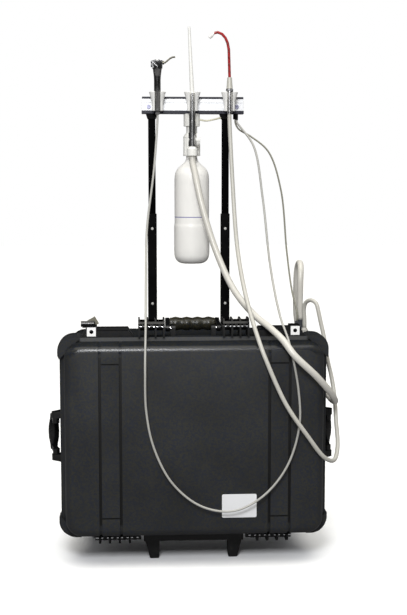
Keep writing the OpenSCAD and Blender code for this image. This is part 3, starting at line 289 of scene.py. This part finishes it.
MM = 0.001
warm_silicone = finish_of("warm_silicone", (0.56, 0.545, 0.50), 0.32, amount=0.05, dusty=0.05,
                          dust=(0.30, 0.28, 0.24, 1), size=9.0, bump=(420.0, 0.00008))
pale_line = finish_of("pale_line", (0.37, 0.365, 0.34), 0.35, amount=0.05, size=11.0,
                      bump=(600.0, 0.00005))
saliva_grey = finish_of("saliva_grey", (0.46, 0.45, 0.41), 0.4, amount=0.06, size=11.0,
                        bump=(500.0, 0.00006))
olive_tube = finish_of("olive_tube", (0.26, 0.255, 0.205), 0.32, amount=0.1, size=14.0,
                       bump=(500.0, 0.00006))
clear_line = finish_of("clear_line", (0.55, 0.53, 0.40), 0.25, amount=0.05, size=14.0,
                       bump=(500.0, 0.00003))

SYRINGE_ROUTE = [[-75, 87, 1015], [-75, 87, 1003], [-84, 62, 890], [-102, 10, 750],
                 [-106, -70, 635], [-108, -150, 540], [-110, -183, 450], [-108, -183, 360],
                 [-92, -183, 280], [-52, -183, 200], [10, -184, 148], [80, -184, 135],
                 [145, -184, 165], [200, -180, 230], [228, -178, 320], [226, -178, 400],
                 [207, -172, 500], [194, -95, 560], [182, -10, 665], [170, 45, 820],
                 [152, 75, 940], [122, 103, 988], [114, 112, 1000], [114, 112, 1005]]
SUPPLY_ROUTE = [[112, 124, 1007], [112, 124, 999], [120, 124, 984], [150, 123, 966],
                [192, 121, 930], [222, 117, 840], [236, 104, 690], [246, 84, 600],
                [256, 62, 546], [256, 62, 527]]
SUCTION_ROUTE = [[7, 87, 919], [7, 87, 914], [7.2, 85.4, 907], [8.2, 81.4, 898],
                 [10.5, 76, 887], [15, 66, 862], [28, 50, 800], [58, 28, 700], [96, -14, 612],
                 [136, -74, 560], [170, -136, 533], [192, -174, 512], [214, -195, 482],
                 [262, -193, 436], [300, -163, 393], [317, -120, 366], [314, -84, 366],
                 [307, -52, 378], [307, -10, 394], [309, 50, 404], [306, 110, 424],
                 [290, 150, 455], [272, 165, 510], [269, 164, 627], [270, 153.7, 651.7],
                 [271, 129, 662], [270, 104.3, 651.7], [268, 94, 627], [267, 93, 565],
                 [267, 93, 527]]
SALIVA_ROUTE = [[95, 87, 1017], [95, 87, 1005], [100, 60, 860], [106, 13, 720],
                [113, -47, 640], [124, -118, 570], [140, -164, 509], [152, -180, 474],
                [196, -193, 375], [244, -194, 304], [284, -178, 252], [311, -150, 238],
                [326, -112, 262], [326, -86, 319], [326, -66, 366], [321, -50, 410],
                [313, -38, 451], [306, -28, 501], [298, -20, 540], [294, -16, 561],
                [289.8, -11.3, 576.6], [279.5, 0, 583], [269.2, 11.3, 576.6],
                [265.5, 15.5, 561], [267, 15, 533], [267, 15, 517]]
AIR_ROUTE = [[24, 120, 1006], [40.5, 119, 1003], [60, 119, 1006], [79, 120, 1011]]


HOSE_STEP = 0.006
AIR_STEP, AIR_RADIUS, AIR_SIDES = 0.003, 0.002, 14


def hose(name, route, section, mat, node):
    """A hose along its route between the case and the trolley, standing in for its CAD node, which
    is hidden.
    """
    path = curve_through(np.array(route) * MM, HOSE_STEP)
    sides = len(section)
    piece = make_piece(name, along(path, section), grid_faces(len(path), sides))
    paint(piece, mat)
    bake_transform(piece)
    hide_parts(node)


hose("syringe_line", SYRINGE_ROUTE, round_section(0.0025, 16), pale_line,
     "syringe_hose")
hose("suction_line", SUCTION_ROUTE, round_section(0.0075, 24), warm_silicone,
     "suction_hose")
hose("saliva_line", SALIVA_ROUTE, round_section(0.00475, 18), saliva_grey,
     "saliva_hose")
# Two welded tubes in section: a circle flattened to 0.62 and drawn in by a fifth at its waist,
# where the pull falls off with the square of the distance from the middle.
TWIN = round_section(0.0035, 20)
TWIN = TWIN * [1.0, 0.62] * (1 - 0.22 * np.exp(-(TWIN[:, :1] / 0.0009) ** 2))
hose("supply_line", SUPPLY_ROUTE, TWIN, olive_tube, "supply_hose")
air_path = curve_through(np.array(AIR_ROUTE) * MM, AIR_STEP)
air = paint(make_piece("air_line_tube", along(air_path, round_section(AIR_RADIUS, AIR_SIDES)),
                       grid_faces(len(air_path), AIR_SIDES)), clear_line)
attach(air, "trolley_top")
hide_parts("air_line")

# ---------------------------------------------------------------- case
# Both shells are injection moulded in black structural polypropylene. The mould is etched,
# so the outside has a fine pebbled grain that is glossy on its tops and dull between them.
def make_pebble():
    """Shared effect: moulded grain. Height is 1 less the smoothed distance to the nearest
    cell centre, plus a share of fine noise."""
    g = new_group("pebble", [("Vector", "NodeSocketVector", None),
                             ("Scale", "NodeSocketFloat", 900.0)],
                  [("Height", "NodeSocketFloat")])
    n = g.nodes
    cells = node_of(g, "ShaderNodeTexVoronoi", feature="SMOOTH_F1")
    cells.inputs["Smoothness"].default_value = 0.6
    grit = node_of(g, "ShaderNodeTexNoise", i3=2.0, i4=0.5)
    turned = node_of(g, "ShaderNodeMath", operation="SUBTRACT", i0=1.0)
    total = node_of(g, "ShaderNodeMath", operation="MULTIPLY_ADD", i1=0.35)
    wire(g, ((n["in"], "Vector"), (cells, "Vector")), ((n["in"], "Scale"), (cells, "Scale")),
         ((n["in"], "Vector"), (grit, 0)), ((n["in"], "Scale"), (grit, 2)),
         ((cells, "Distance"), (turned, 1)), ((grit, 0), (total, 0)), ((turned, 0), (total, 2)),
         ((total, 0), (n["out"], "Height")))
    return g


PEBBLE = make_pebble()


def grained(name, colour, rough, scale=900.0, depth=0.00012, amount=0.3, dusty=0.04):
    """Moulded plastic: the mottle's colour and roughness, and the pebble as a bump.

    A noise with cells of about 4 mm moves the colour between a cool and a warm shade of it.
    Dust takes the gloss off what faces up: the specular level falls from 0.34 to 0 as the
    Z part of the object's own normal rises from 0.50 to 0.78."""
    mat = finish_of(name, colour, rough, amount=amount, dusty=dusty, size=7.0,
                    dust=(0.12, 0.115, 0.10, 1))
    tree, shader, place, marks = wiring_of(mat)
    grain = node_of(tree, "ShaderNodeGroup", node_tree=PEBBLE)
    grain.inputs["Scale"].default_value = scale
    relief = node_of(tree, "ShaderNodeBump")
    relief.inputs["Strength"].default_value = 1.0
    relief.inputs["Distance"].default_value = depth
    cells = node_of(tree, "ShaderNodeTexNoise", i2=270.0, i3=1.0, i4=0.5)
    share = node_of(tree, "ShaderNodeMapRange", i1=0.35, i2=0.65, i3=0.0, i4=1.0)
    shade = node_of(tree, "ShaderNodeMix", data_type="RGBA")
    shade.inputs[6].default_value = (0.66 * colour[0], 0.80 * colour[1], 1.18 * colour[2], 1)
    shade.inputs[7].default_value = (1.36 * colour[0], 1.24 * colour[1], 0.84 * colour[2], 1)
    facing = node_of(tree, "ShaderNodeSeparateXYZ")
    gloss = node_of(tree, "ShaderNodeMapRange", i1=0.50, i2=0.78, i3=0.34, i4=0.0)
    wire(tree, ((place, "Normal"), (facing, 0)), ((facing, 2), (gloss, 0)),
         ((gloss, 0), (shader, "Specular IOR Level")), ((place, "Object"), (grain, "Vector")),
         ((grain, "Height"), (relief, "Height")), ((relief, "Normal"), (shader, "Normal")),
         ((place, "Object"), (cells, 0)),
         ((cells, 0), (share, 0)), ((share, 0), (shade, 0)), ((shade, 2), (marks, "Colour")))
    return mat


RUB_LOW, RUB_HIGH, RUB_FADE = 0.475, 0.485, 0.0005


def burnished_edge(mat, low, high, polish):
    """Makes a grained material glossier where hands rub along a case's rounded top edge.

    The mask is 1 for Object Y between low and high and fades to 0 at both ends. It rises with
    Object Z through the rubbed height, and the roughness is multiplied by 1 less polish
    times the mask."""
    tree, shader, place, marks = wiring_of(mat)
    split = node_of(tree, "ShaderNodeSeparateXYZ")
    rise = node_of(tree, "ShaderNodeMapRange", i1=low, i2=low + RUB_FADE, i3=0.0, i4=-polish)
    fall = node_of(tree, "ShaderNodeMapRange", i1=high - RUB_FADE, i2=high, i3=1.0, i4=0.0)
    top = node_of(tree, "ShaderNodeMapRange", i1=RUB_LOW, i2=RUB_HIGH, i3=0.0, i4=1.0)
    share = node_of(tree, "ShaderNodeMath", operation="MULTIPLY")
    higher = node_of(tree, "ShaderNodeMath", operation="MULTIPLY")
    kept = node_of(tree, "ShaderNodeMath", operation="ADD", i1=1.0)
    total = node_of(tree, "ShaderNodeMath", operation="MULTIPLY")
    wire(tree, ((place, "Object"), (split, 0)), ((split, 1), (rise, 0)), ((split, 1), (fall, 0)),
         ((split, 2), (top, 0)), ((rise, 0), (share, 0)), ((fall, 0), (share, 1)),
         ((share, 0), (higher, 0)), ((top, 0), (higher, 1)), ((higher, 0), (kept, 0)),
         ((kept, 0), (total, 0)), ((marks, "Rough"), (total, 1)),
         ((total, 0), (shader, "Roughness")))


FACE_Y, FACE_SIDE, FACE_LOW, FACE_HIGH = -0.1648, 0.255, 0.102, 0.474
FADE = 0.004


def shade_painted_grooves(mat):
    """Darkens the grooves pressed into the lid's flat face with painted shade.

    The mask rises from 0 to 1 in the first millimetre behind the face, and falls to 0 over
    the fade beyond the face's four edges. The painted shade is a tenth as light as the plastic."""
    tree, shader, place, marks = wiring_of(mat)
    split = node_of(tree, "ShaderNodeSeparateXYZ")
    depth = node_of(tree, "ShaderNodeMapRange", i1=FACE_Y, i2=FACE_Y + MM, i3=0.0, i4=1.0)
    side = node_of(tree, "ShaderNodeMath", operation="ABSOLUTE")
    inside = node_of(tree, "ShaderNodeMapRange", i1=FACE_SIDE, i2=FACE_SIDE + FADE, i3=1.0,
                     i4=0.0)
    high = node_of(tree, "ShaderNodeMapRange", i1=FACE_HIGH, i2=FACE_HIGH + FADE, i3=1.0,
                   i4=0.0)
    low = node_of(tree, "ShaderNodeMapRange", i1=FACE_LOW - FADE, i2=FACE_LOW, i3=0.0, i4=1.0)
    # painted shade: inside the grooves the colour is mixed towards this near black
    groove_shade = node_of(tree, "ShaderNodeMix", data_type="RGBA")
    groove_shade.inputs[7].default_value = (0.0012, 0.0012, 0.0011, 1)
    parts = [node_of(tree, "ShaderNodeMath", operation="MULTIPLY") for _ in range(3)]
    wire(tree, ((place, "Object"), (split, 0)), ((split, 0), (side, 0)), ((side, 0), (inside, 0)),
         ((split, 1), (depth, 0)), ((split, 2), (high, 0)), ((split, 2), (low, 0)),
         ((depth, 0), (parts[0], 0)), ((inside, 0), (parts[0], 1)), ((parts[0], 0), (parts[1], 0)),
         ((high, 0), (parts[1], 1)), ((parts[1], 0), (parts[2], 0)), ((low, 0), (parts[2], 1)),
         ((parts[2], 0), (groove_shade, 0)), ((marks, "Colour"), (groove_shade, 6)),
         ((groove_shade, 2), (shader, "Base Color")))


CASE_BLACK, CASE_ROUGH, POLISH = (0.0128, 0.0138, 0.0155), 0.54, 0.60
lid_plastic = grained("lid_plastic", CASE_BLACK, CASE_ROUGH)
burnished_edge(lid_plastic, low=-0.1649, high=-0.150, polish=POLISH)
# Painted shade darkens the grooves in the lid's face.
shade_painted_grooves(lid_plastic)
base_plastic = grained("base_plastic", CASE_BLACK, CASE_ROUGH)
burnished_edge(base_plastic, low=0.120, high=0.1349, polish=POLISH)


def eased(node, mat, width=0.0008, segments=2, sharp=32):
    """A finished copy of a CAD node, which stands for it.

    Corners at the same place, to a hundredth of a millimetre, become one, and faces that meet
    within half a degree join. Edges turned by more than the sharp angle are rounded over the
    given width, and everything else is shaded smooth."""
    source = nodes[node].data
    places = np.empty(len(source.vertices) * 3, np.float32)
    source.vertices.foreach_get("co", places)
    corners = np.empty(len(source.loops), np.int32)
    source.loops.foreach_get("vertex_index", corners)
    points, number = np.unique(np.round(places.reshape(-1, 3).astype(float), 5), axis=0,
                               return_inverse=True)
    faces = number.reshape(-1)[corners].reshape(-1, 3)
    whole = (faces != np.roll(faces, 1, axis=1)).all(axis=1)
    piece = make_piece(node + "_finished", points, faces[whole].tolist())
    work = bmesh.new()
    work.from_mesh(piece.data)
    bmesh.ops.dissolve_limit(work, angle_limit=math.radians(0.5), verts=work.verts,
                             edges=work.edges)
    work.to_mesh(piece.data)
    work.free()
    piece.data.set_sharp_from_angle(angle=math.radians(sharp))
    if width:
        bevel = piece.modifiers.new("eased_edges", "BEVEL")
        bevel.width = width
        bevel.segments = segments
        bevel.limit_method = "ANGLE"
        bevel.angle_limit = math.radians(sharp)
        bevel.harden_normals = True
    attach(piece, body_of[node])
    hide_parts(node)
    paint(piece, mat)


eased("base_shell", base_plastic, 0.0009)
eased("lid_shell", lid_plastic, 0.0009)
seal_rubber = finish_of("seal_rubber", (0.015, 0.015, 0.015), 0.7, amount=0.1,
                        bump=(700.0, 0.0001))
eased("lid_seal", seal_rubber, 0.0004)

# ---------------------------------------------------------------- label
# A small plain plate of white vinyl with rounded corners is stuck on the lid's face, near
# the bottom right.
label_white = finish_of("label_white", (0.72, 0.73, 0.75), 0.35, amount=0.03, dusty=0.04,
                        bump=(300.0, 0.00003))


def rounded_plate(name, low, high, radius, back, thickness):
    """A flat plate in X and Z: four quarter circles joined by straight sides, as two rings
    that are the thickness apart in Y, and a smaller front ring that rounds the front edge."""
    quarter = np.linspace(0, np.pi / 2, 7)
    turn = (quarter[None, :] + np.arange(4)[:, None] * np.pi / 2).ravel()
    mid = (np.array(low) + high) / 2
    half = (np.array(high) - low) / 2 - radius
    sign = np.repeat([[1, 1], [-1, 1], [-1, -1], [1, -1]], 7, axis=0)
    ring = mid + sign * half + radius * np.column_stack([np.cos(turn), np.sin(turn)])
    inner = mid + (ring - mid) * (1 - 0.25 * thickness / np.abs(half + radius).min())
    depth = (back, back - 0.75 * thickness, back - thickness)
    points = np.stack([np.column_stack([r[:, 0], np.full(len(r), y), r[:, 1]])
                       for r, y in zip((ring, ring, inner), depth)])
    return make_piece(name, points, grid_faces(3, len(ring)), smooth=False)


label = rounded_plate("label_plate", low=(0.0590, 0.1150), high=(0.1360, 0.1680),
                      radius=0.0035, back=-0.1649, thickness=0.0006)
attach(paint(label, label_white), "lid")

# ---------------------------------------------------------------- flange fittings
# The hinge knuckles, latch lugs and crest pads are moulded with the shells in the same black
# polypropylene, but in a smoother part of the mould. Bright steel pins run through them.
trim_plastic = grained("trim_plastic", (0.0040, 0.0041, 0.0045), 0.48, depth=0.00008)
for node in ("base_hinge_blocks", "base_lugs", "lid_knuckles"):
    eased(node, trim_plastic, 0.0007)
bright_steel = finish_of("bright_steel", (0.80, 0.81, 0.83), 0.2, amount=0.05, metallic=1.0,
                         bump=(900.0, 0.00002))
plate_steel = finish_of("plate_steel", (0.95, 0.95, 0.95), 0.40, amount=0.05, metallic=0.05,
                        bump=(500.0, 0.00003))
eased("steel_pins", bright_steel, 0.0003)
eased("latch_pivot_pins", bright_steel, 0.0003)
eased("padlock_plates", plate_steel, 0.0003)

# ---------------------------------------------------------------- corner ribs
# Four thin ribs, moulded with the lid in the same plastic, brace each corner of its flange
# against the wall. They fan out from the corner's centre and slope down to the flange.
RIB_DEGREES = (18, 36, 54, 72)
CORNER_X, CORNER_Z, MIDDLE_Z = 0.255, 0.180, 0.289
OUTER_SHARE = 0.35


def corner_ribs(name, spots, inner, outer, low, high, thick):
    """Thin radial plates round each corner's centre, at even angles of its quarter circle.

    A plate's eight corners are at centre + r * (cosine, sine) +- half the thickness across,
    for r at the inner and outer radius and y from low to high at the inner end, and from low
    to the outer share of that at the outer end."""
    angle = np.radians(RIB_DEGREES)
    points, faces = [], []
    for sx, sz in spots:
        out = np.column_stack([sx * np.cos(angle), sz * np.sin(angle)])
        side = np.column_stack([-out[:, 1], out[:, 0]])
        centre = np.array([sx * CORNER_X, MIDDLE_Z + sz * CORNER_Z])
        outer_high = high * OUTER_SHARE + low * (1 - OUTER_SHARE)
        for r, y in ((inner, high), (inner, low), (outer, low), (outer, outer_high)):
            for s in (-0.5, 0.5):
                flat = centre + out * r + side * s * thick
                points.append(np.column_stack([flat[:, 0], np.full(len(angle), y),
                                               flat[:, 1]]))
    rows = np.array(points).reshape(len(spots), 8, len(angle), 3)
    rows = rows.transpose(0, 2, 1, 3).reshape(-1, 3)
    sides = np.array([[0, 2, 4, 6], [7, 5, 3, 1], [0, 1, 3, 2], [2, 3, 5, 4], [4, 5, 7, 6],
                      [6, 7, 1, 0]])
    for k in range(len(spots) * len(angle)):
        faces += (sides + 8 * k).tolist()
    piece = make_piece(name, rows, faces, smooth=False)
    work = bmesh.new()
    work.from_mesh(piece.data)
    bmesh.ops.recalc_face_normals(work, faces=work.faces)
    work.to_mesh(piece.data)
    work.free()
    return piece


ribs = corner_ribs("lid_corner_ribs", [(1, 1), (-1, 1), (1, -1), (-1, -1)], inner=0.0355,
                   outer=0.0430, low=-0.1069, high=-0.1150, thick=0.0022)
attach(paint(ribs, trim_plastic), "lid")

# ---------------------------------------------------------------- latches and handles
# Two-stage latches and the bails of the handles are glass-filled nylon, glossy where hands
# have polished them. The front handle's bar is overmoulded with a soft, dull rubber grip.
nylon = grained("worn_nylon", (0.0035, 0.0036, 0.0040), 0.28, scale=1500.0, depth=0.00004,
                amount=0.45, dusty=0.08)
for node in ("latch_left", "latch_right", "front_handle", "side_handle_left",
             "side_handle_right"):
    eased(node, nylon, 0.0009, segments=3)
grip_rubber = grained("grip_rubber", (0.016, 0.0150, 0.0105), 0.27, scale=420.0, depth=0.0004,
                      amount=0.6, dusty=0.25)
eased("front_grip", grip_rubber, 0.0006)

# ---------------------------------------------------------------- stand and wheels
# The two front feet with their crossbar are bolted under the base, and the wheels are
# moulded nylon on steel axles. Both are scuffed and dusty where they meet the floor.
floor_worn = grained("floor_worn", (0.0035, 0.0036, 0.0040), 0.45, scale=1200.0, depth=0.0001,
                     amount=0.4, dusty=0.18)
for node in ("stand_feet", "wheel_left", "wheel_right"):
    eased(node, floor_worn, 0.0009)

# ---------------------------------------------------------------- hose glands and air inlet
# Dark grey screwed glands hold the thick hoses, a paler port takes the saliva hose, and a
# small painted bracket at the left carries a black quick coupling.
dark_fitting = finish_of("dark_fitting", (0.035, 0.037, 0.045), 0.35, bump=(800.0, 0.00004))
light_fitting = finish_of("light_fitting", (0.46, 0.45, 0.42), 0.35, bump=(800.0, 0.00003))
bracket_paint = finish_of("bracket_paint", (0.20, 0.19, 0.15), 0.45, amount=0.3, dusty=0.1,
                          bump=(500.0, 0.00008))
coupling_black = finish_of("coupling_black", (0.010, 0.010, 0.010), 0.25, amount=0.3,
                           bump=(900.0, 0.00003))
eased("hose_glands", dark_fitting, 0.0005)
eased("saliva_port", light_fitting, 0.0005)
eased("air_inlet_bracket", bracket_paint, 0.0004)
eased("air_inlet_coupling", coupling_black, 0.0004)

# ---------------------------------------------------------------- equipment in the base
# Behind the aluminium deck stand a painted tank, a cast pump and a translucent canister. The
# deck carries the regulator, the gauge, the rocker switch and the mains inlet.
deck_metal = finish_of("deck_aluminium", (0.58, 0.59, 0.61), 0.34, amount=0.06, metallic=1.0,
                       bump=(260.0, 0.00004))
pump_metal = finish_of("pump_casting", (0.28, 0.29, 0.31), 0.48, amount=0.2, dusty=0.1,
                       metallic=0.7, bump=(380.0, 0.0002))
tank_paint = finish_of("tank_paint", (0.07, 0.105, 0.14), 0.32, amount=0.1, coat=0.3,
                       bump=(240.0, 0.00008))
canister_clear = finish_of("canister_plastic", (0.66, 0.69, 0.70), 0.3, amount=0.04,
                           bump=(160.0, 0.00005), Subsurface_Weight=0.15)
rocker_red = finish_of("rocker_red", (0.42, 0.020, 0.014), 0.25, bump=(700.0, 0.00002))
inlet_black = finish_of("inlet_black", (0.012, 0.012, 0.012), 0.3, bump=(700.0, 0.00003))
eased("equipment_panel", deck_metal, 0.0005)
eased("compressor", pump_metal, 0.0008)
eased("air_tank", tank_paint, 0.0006)
eased("waste_canister", canister_clear, 0.0008)
eased("power_inlet", inlet_black, 0.0005)
eased("regulator_knob", nylon, 0.0005)
eased("power_switch", rocker_red, 0.0005)
gauge_case = finish_of("gauge_case", (0.70, 0.71, 0.72), 0.22, amount=0.03, coat=0.4,
                       bump=(700.0, 0.00002))
eased("pressure_gauge", gauge_case, 0.0005)

# ---------------------------------------------------------------- trolley
# Two telescoping legs of flat oval steel tube, powder coated in black. The sleeves' collars
# are a plastic moulding with a white push rivet, and the guides hold the fixed tubes.
tube_black = finish_of("tube_black", (0.0012, 0.0012, 0.0013), 0.34, amount=0.4, dusty=0.006,
                       dust=(0.10, 0.10, 0.10, 1), size=16.0, bump=(700.0, 0.00003),
                       Specular_IOR_Level=0.015)
sleeve_black = finish_of("sleeve_black", (0.0035, 0.0035, 0.0037), 0.4, amount=0.4, dusty=0.015,
                         dust=(0.10, 0.10, 0.10, 1), size=20.0, bump=(600.0, 0.00005),
                         Specular_IOR_Level=0.03)
for node in ("upper_tubes", "fixed_tubes"):
    eased(node, tube_black, 0.0006)
for node in ("trolley_sleeves", "trolley_guides"):
    eased(node, sleeve_black, 0.0007)
rivet_white = finish_of("rivet_white", (0.50, 0.50, 0.48), 0.4, bump=(900.0, 0.00002))
eased("sleeve_rivets", rivet_white, 0.0002)

# ---------------------------------------------------------------- instrument rail
# A pale anodised aluminium extrusion lies between two black plastic strips, and two socket
# screws hold it to the tapered fittings on top of the legs.
rail_metal = finish_of("rail_aluminium", (0.80, 0.81, 0.83), 0.32, amount=0.05, metallic=0.25,
                       bump=(300.0, 0.00003))
strip_navy = finish_of("strip_navy", (0.010, 0.011, 0.022), 0.38, amount=0.2,
                       bump=(800.0, 0.00003), Specular_IOR_Level=0.3)
bolt_steel = finish_of("bolt_steel", (0.30, 0.30, 0.40), 0.3, metallic=1.0,
                       bump=(900.0, 0.00002))
eased("rail", rail_metal, 0.0006)
eased("rail_strips", strip_navy, 0.0007)
eased("rail_fittings", sleeve_black, 0.0007)
eased("rail_bolts", bolt_steel, 0.0003)

# ---------------------------------------------------------------- holders and bottle
# The instruments stand in white acetal funnels on the rail. The water bottle is translucent
# white polyethylene with a blue fill line, screwed into a ribbed cap under a white head.
white_plastic = finish_of("white_plastic", (0.80, 0.795, 0.76), 0.3, amount=0.04,
                          bump=(700.0, 0.00003))
acetal = finish_of("white_acetal", (0.90, 0.895, 0.87), 0.28, amount=0.03,
                   bump=(700.0, 0.00002))
eased("instrument_holders", acetal, 0.0005)
for node in ("bottle_head", "bottle_cap"):
    eased(node, white_plastic, 0.0006)


FILL_LINE = 0.774


def bottle_finish():
    """Milky plastic whose colour turns blue where the height is within a millimetre of the
    fill line."""
    mat = finish_of("bottle_white", (0.84, 0.83, 0.80), 0.36, amount=0.03, dusty=0.02,
                    bump=(90.0, 0.00012))
    tree, shader, place, marks = wiring_of(mat)
    split = node_of(tree, "ShaderNodeSeparateXYZ")
    above = node_of(tree, "ShaderNodeMath", operation="SUBTRACT", i1=FILL_LINE)
    near = node_of(tree, "ShaderNodeMath", operation="ABSOLUTE")
    band = node_of(tree, "ShaderNodeMath", operation="LESS_THAN", i1=0.0009)
    line = node_of(tree, "ShaderNodeMix", data_type="RGBA")
    line.inputs[7].default_value = (0.10, 0.10, 0.34, 1)
    wire(tree, ((place, "Object"), (split, 0)), ((split, 2), (above, 0)), ((above, 0), (near, 0)),
         ((near, 0), (band, 0)), ((band, 0), (line, 0)), ((marks, "Colour"), (line, 6)),
         ((line, 2), (shader, "Base Color")))
    return mat


def turned(name, profile, centre, sides=72):
    """A turned shape: each (radius, height) of a smooth profile becomes a ring of points at
    centre + radius * (cosine, sine) of even angles, from the bottom up."""
    line = curve_through(np.column_stack([np.array(profile) * MM, np.zeros(len(profile))]),
                         0.002)
    angle = np.linspace(0, 2 * np.pi, sides, endpoint=False)
    points = np.stack([centre[0] + line[:, :1] * np.cos(angle),
                       centre[1] + line[:, :1] * np.sin(angle),
                       np.repeat(line[:, 1:2], sides, axis=1)], axis=-1)
    return make_piece(name, points, grid_faces(len(line), sides))


bottle = turned("bottle_blown", [(0.6, 666), (12, 664.5), (20, 662.2), (28, 663.4), (36, 668.5),
                                 (40.8, 677), (42.4, 689), (42.5, 720), (42.5, 751),
                                 (42.2, 754.5), (41.7, 757), (41.6, 800), (41.6, 850),
                                 (41.3, 867), (39.6, 879), (34.5, 889), (25, 898), (16.6, 906),
                                 (13.4, 914), (13.2, 922)], (0.0075, 0.125))
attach(paint(bottle, bottle_finish()), body_of["bottle"])
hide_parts("bottle")

# ---------------------------------------------------------------- instruments
# The syringe is chromed brass with black push buttons. The suction and saliva handpieces are
# satin steel, with a white valve spool, a white cannula, and a red ejector tube.
chrome = finish_of("chrome", (0.33, 0.33, 0.33), 0.14, amount=0.08, metallic=1.0)
nozzle_steel = finish_of("nozzle_steel", (0.10, 0.095, 0.075), 0.2, amount=0.1, metallic=1.0)
satin_steel = finish_of("satin_steel", (0.62, 0.62, 0.62), 0.2, amount=0.06, metallic=1.0,
                        bump=(60.0, 0.00002))
knurled = finish_of("knurled_steel", (0.34, 0.34, 0.35), 0.34, amount=0.1, metallic=1.0,
                    bump=(1200.0, 0.0002))
eased("syringe_body", chrome, 0.0)
eased("syringe_nozzle", nozzle_steel, 0.0)
for node in ("air_button", "water_button"):
    eased(node, dark_fitting, 0.0003)
for node in ("suction_body", "saliva_body"):
    eased(node, satin_steel, 0.0002)
eased("saliva_valve", knurled, 0.0003)
for node in ("suction_coupler", "suction_valve", "suction_tip"):
    eased(node, white_plastic, 0.0005)
adapter_grey = finish_of("adapter_grey", (0.50, 0.49, 0.44), 0.35, bump=(700.0, 0.00003))
eased("saliva_adapter", adapter_grey, 0.0004)


def ejector_finish():
    """Clear red tube with a twisted wire in its wall and a white end.

    Slanted bands of a wave move the colour from red to a dark brown where the wire runs; left
    of Object X = 58.5 mm the colour is white."""
    mat = finish_of("red_tube", (0.34, 0.016, 0.018), 0.2, amount=0.1, bump=(500.0, 0.00002))
    tree, shader, place, marks = wiring_of(mat)
    bands = node_of(tree, "ShaderNodeTexWave", bands_direction="DIAGONAL")
    bands.inputs["Scale"].default_value = 42.0
    wire_share = node_of(tree, "ShaderNodeMapRange", i1=0.55, i2=0.9, i3=0.0, i4=0.5)
    twist = node_of(tree, "ShaderNodeMix", data_type="RGBA")
    twist.inputs[7].default_value = (0.07, 0.022, 0.012, 1)
    split = node_of(tree, "ShaderNodeSeparateXYZ")
    end = node_of(tree, "ShaderNodeMath", operation="LESS_THAN", i1=0.0585)
    tip = node_of(tree, "ShaderNodeMix", data_type="RGBA")
    tip.inputs[7].default_value = (0.82, 0.80, 0.76, 1)
    wire(tree, ((place, "Object"), (bands, 0)), ((bands, "Fac"), (wire_share, 0)),
         ((wire_share, 0), (twist, 0)), ((marks, "Colour"), (twist, 6)),
         ((place, "Object"), (split, 0)), ((split, 0), (end, 0)), ((end, 0), (tip, 0)),
         ((twist, 2), (tip, 6)), ((tip, 2), (shader, "Base Color")))
    return mat


eased("saliva_tube", ejector_finish(), 0.0)

# ---------------------------------------------------------------- stage
# The photograph's ground is plain white. A soft lamp stands near the camera with a weak one
# behind the unit, and an even, slightly warm ceiling lights both from above. The floor and
# the sky look white but send little light back, so that the black plastics stay black.
def soft_light(name, spot, aim, size, power, tint=(1, 1, 1)):
    """A square area light at a spot, turned to face the point it aims at."""
    data = bpy.data.lights.new(name, "AREA")
    data.size = size
    data.energy = power
    data.color = tint
    lamp = bpy.data.objects.new(name, data)
    lamp.location = spot
    way = np.array(aim, float) - np.array(spot, float)
    lamp.rotation_euler = (math.atan2(math.hypot(way[0], way[1]), -way[2]), 0,
                           math.atan2(-way[0], way[1]))
    scene.collection.objects.link(lamp)


soft_light("key", spot=(-0.35, -2.55, 1.95), aim=(0, -0.1, 0.5), size=0.7, power=60,
           tint=(0.985, 0.99, 1.0))
soft_light("back", spot=(0.9, 2.4, 1.9), aim=(0, 0, 0.5), size=1.6, power=4)
ceiling_data = bpy.data.lights.new("ceiling", "SUN")
ceiling_data.energy = 2.5
ceiling_data.angle = math.radians(60)
ceiling_data.color = (1.0, 0.97, 0.89)
ceiling = bpy.data.objects.new("ceiling", ceiling_data)
ceiling.rotation_euler = (math.radians(12), 0, 0)
scene.collection.objects.link(ceiling)
world = bpy.data.worlds.new("studio")
world.use_nodes = True
tree = world.node_tree
ray = tree.nodes.new("ShaderNodeLightPath")
direction = tree.nodes.new("ShaderNodeTexCoord")
height = tree.nodes.new("ShaderNodeSeparateXYZ")
sky = node_of(tree, "ShaderNodeMapRange", i1=0.1, i2=0.75, i3=0.03, i4=0.52)
level = node_of(tree, "ShaderNodeMix", data_type="FLOAT")
level.inputs["B"].default_value = 1.0
tree.nodes["Background"].inputs[0].default_value = (1, 1, 1, 1)
wire(tree, ((direction, "Generated"), (height, 0)), ((height, "Z"), (sky, 0)),
     ((sky, 0), (level, "A")), ((ray, "Is Camera Ray"), (level, "Factor")),
     ((level, 0), (tree.nodes["Background"], 1)))
scene.world = world
REACH = 14.0
floor = make_piece("floor", [[-REACH, -REACH, 0], [REACH, -REACH, 0], [REACH, REACH, 0],
                             [-REACH, REACH, 0]], [[0, 1, 2, 3]], smooth=False)
pale_floor = finish_of("pale_floor", (0.97, 0.98, 1.0), 0.8, amount=0.02, dusty=0.0,
                       Specular_IOR_Level=0.1)
tree, shader, place, marks = wiring_of(pale_floor)
ray = tree.nodes.new("ShaderNodeLightPath")
dull = node_of(tree, "ShaderNodeMix", data_type="RGBA")
dull.inputs[6].default_value = (0.25, 0.25, 0.26, 1)
wire(tree, ((ray, "Is Camera Ray"), (dull, 0)), ((marks, "Colour"), (dull, 7)),
     ((dull, 2), (shader, "Base Color")))
paint(floor, pale_floor)
scene.view_settings.view_transform = "Standard"
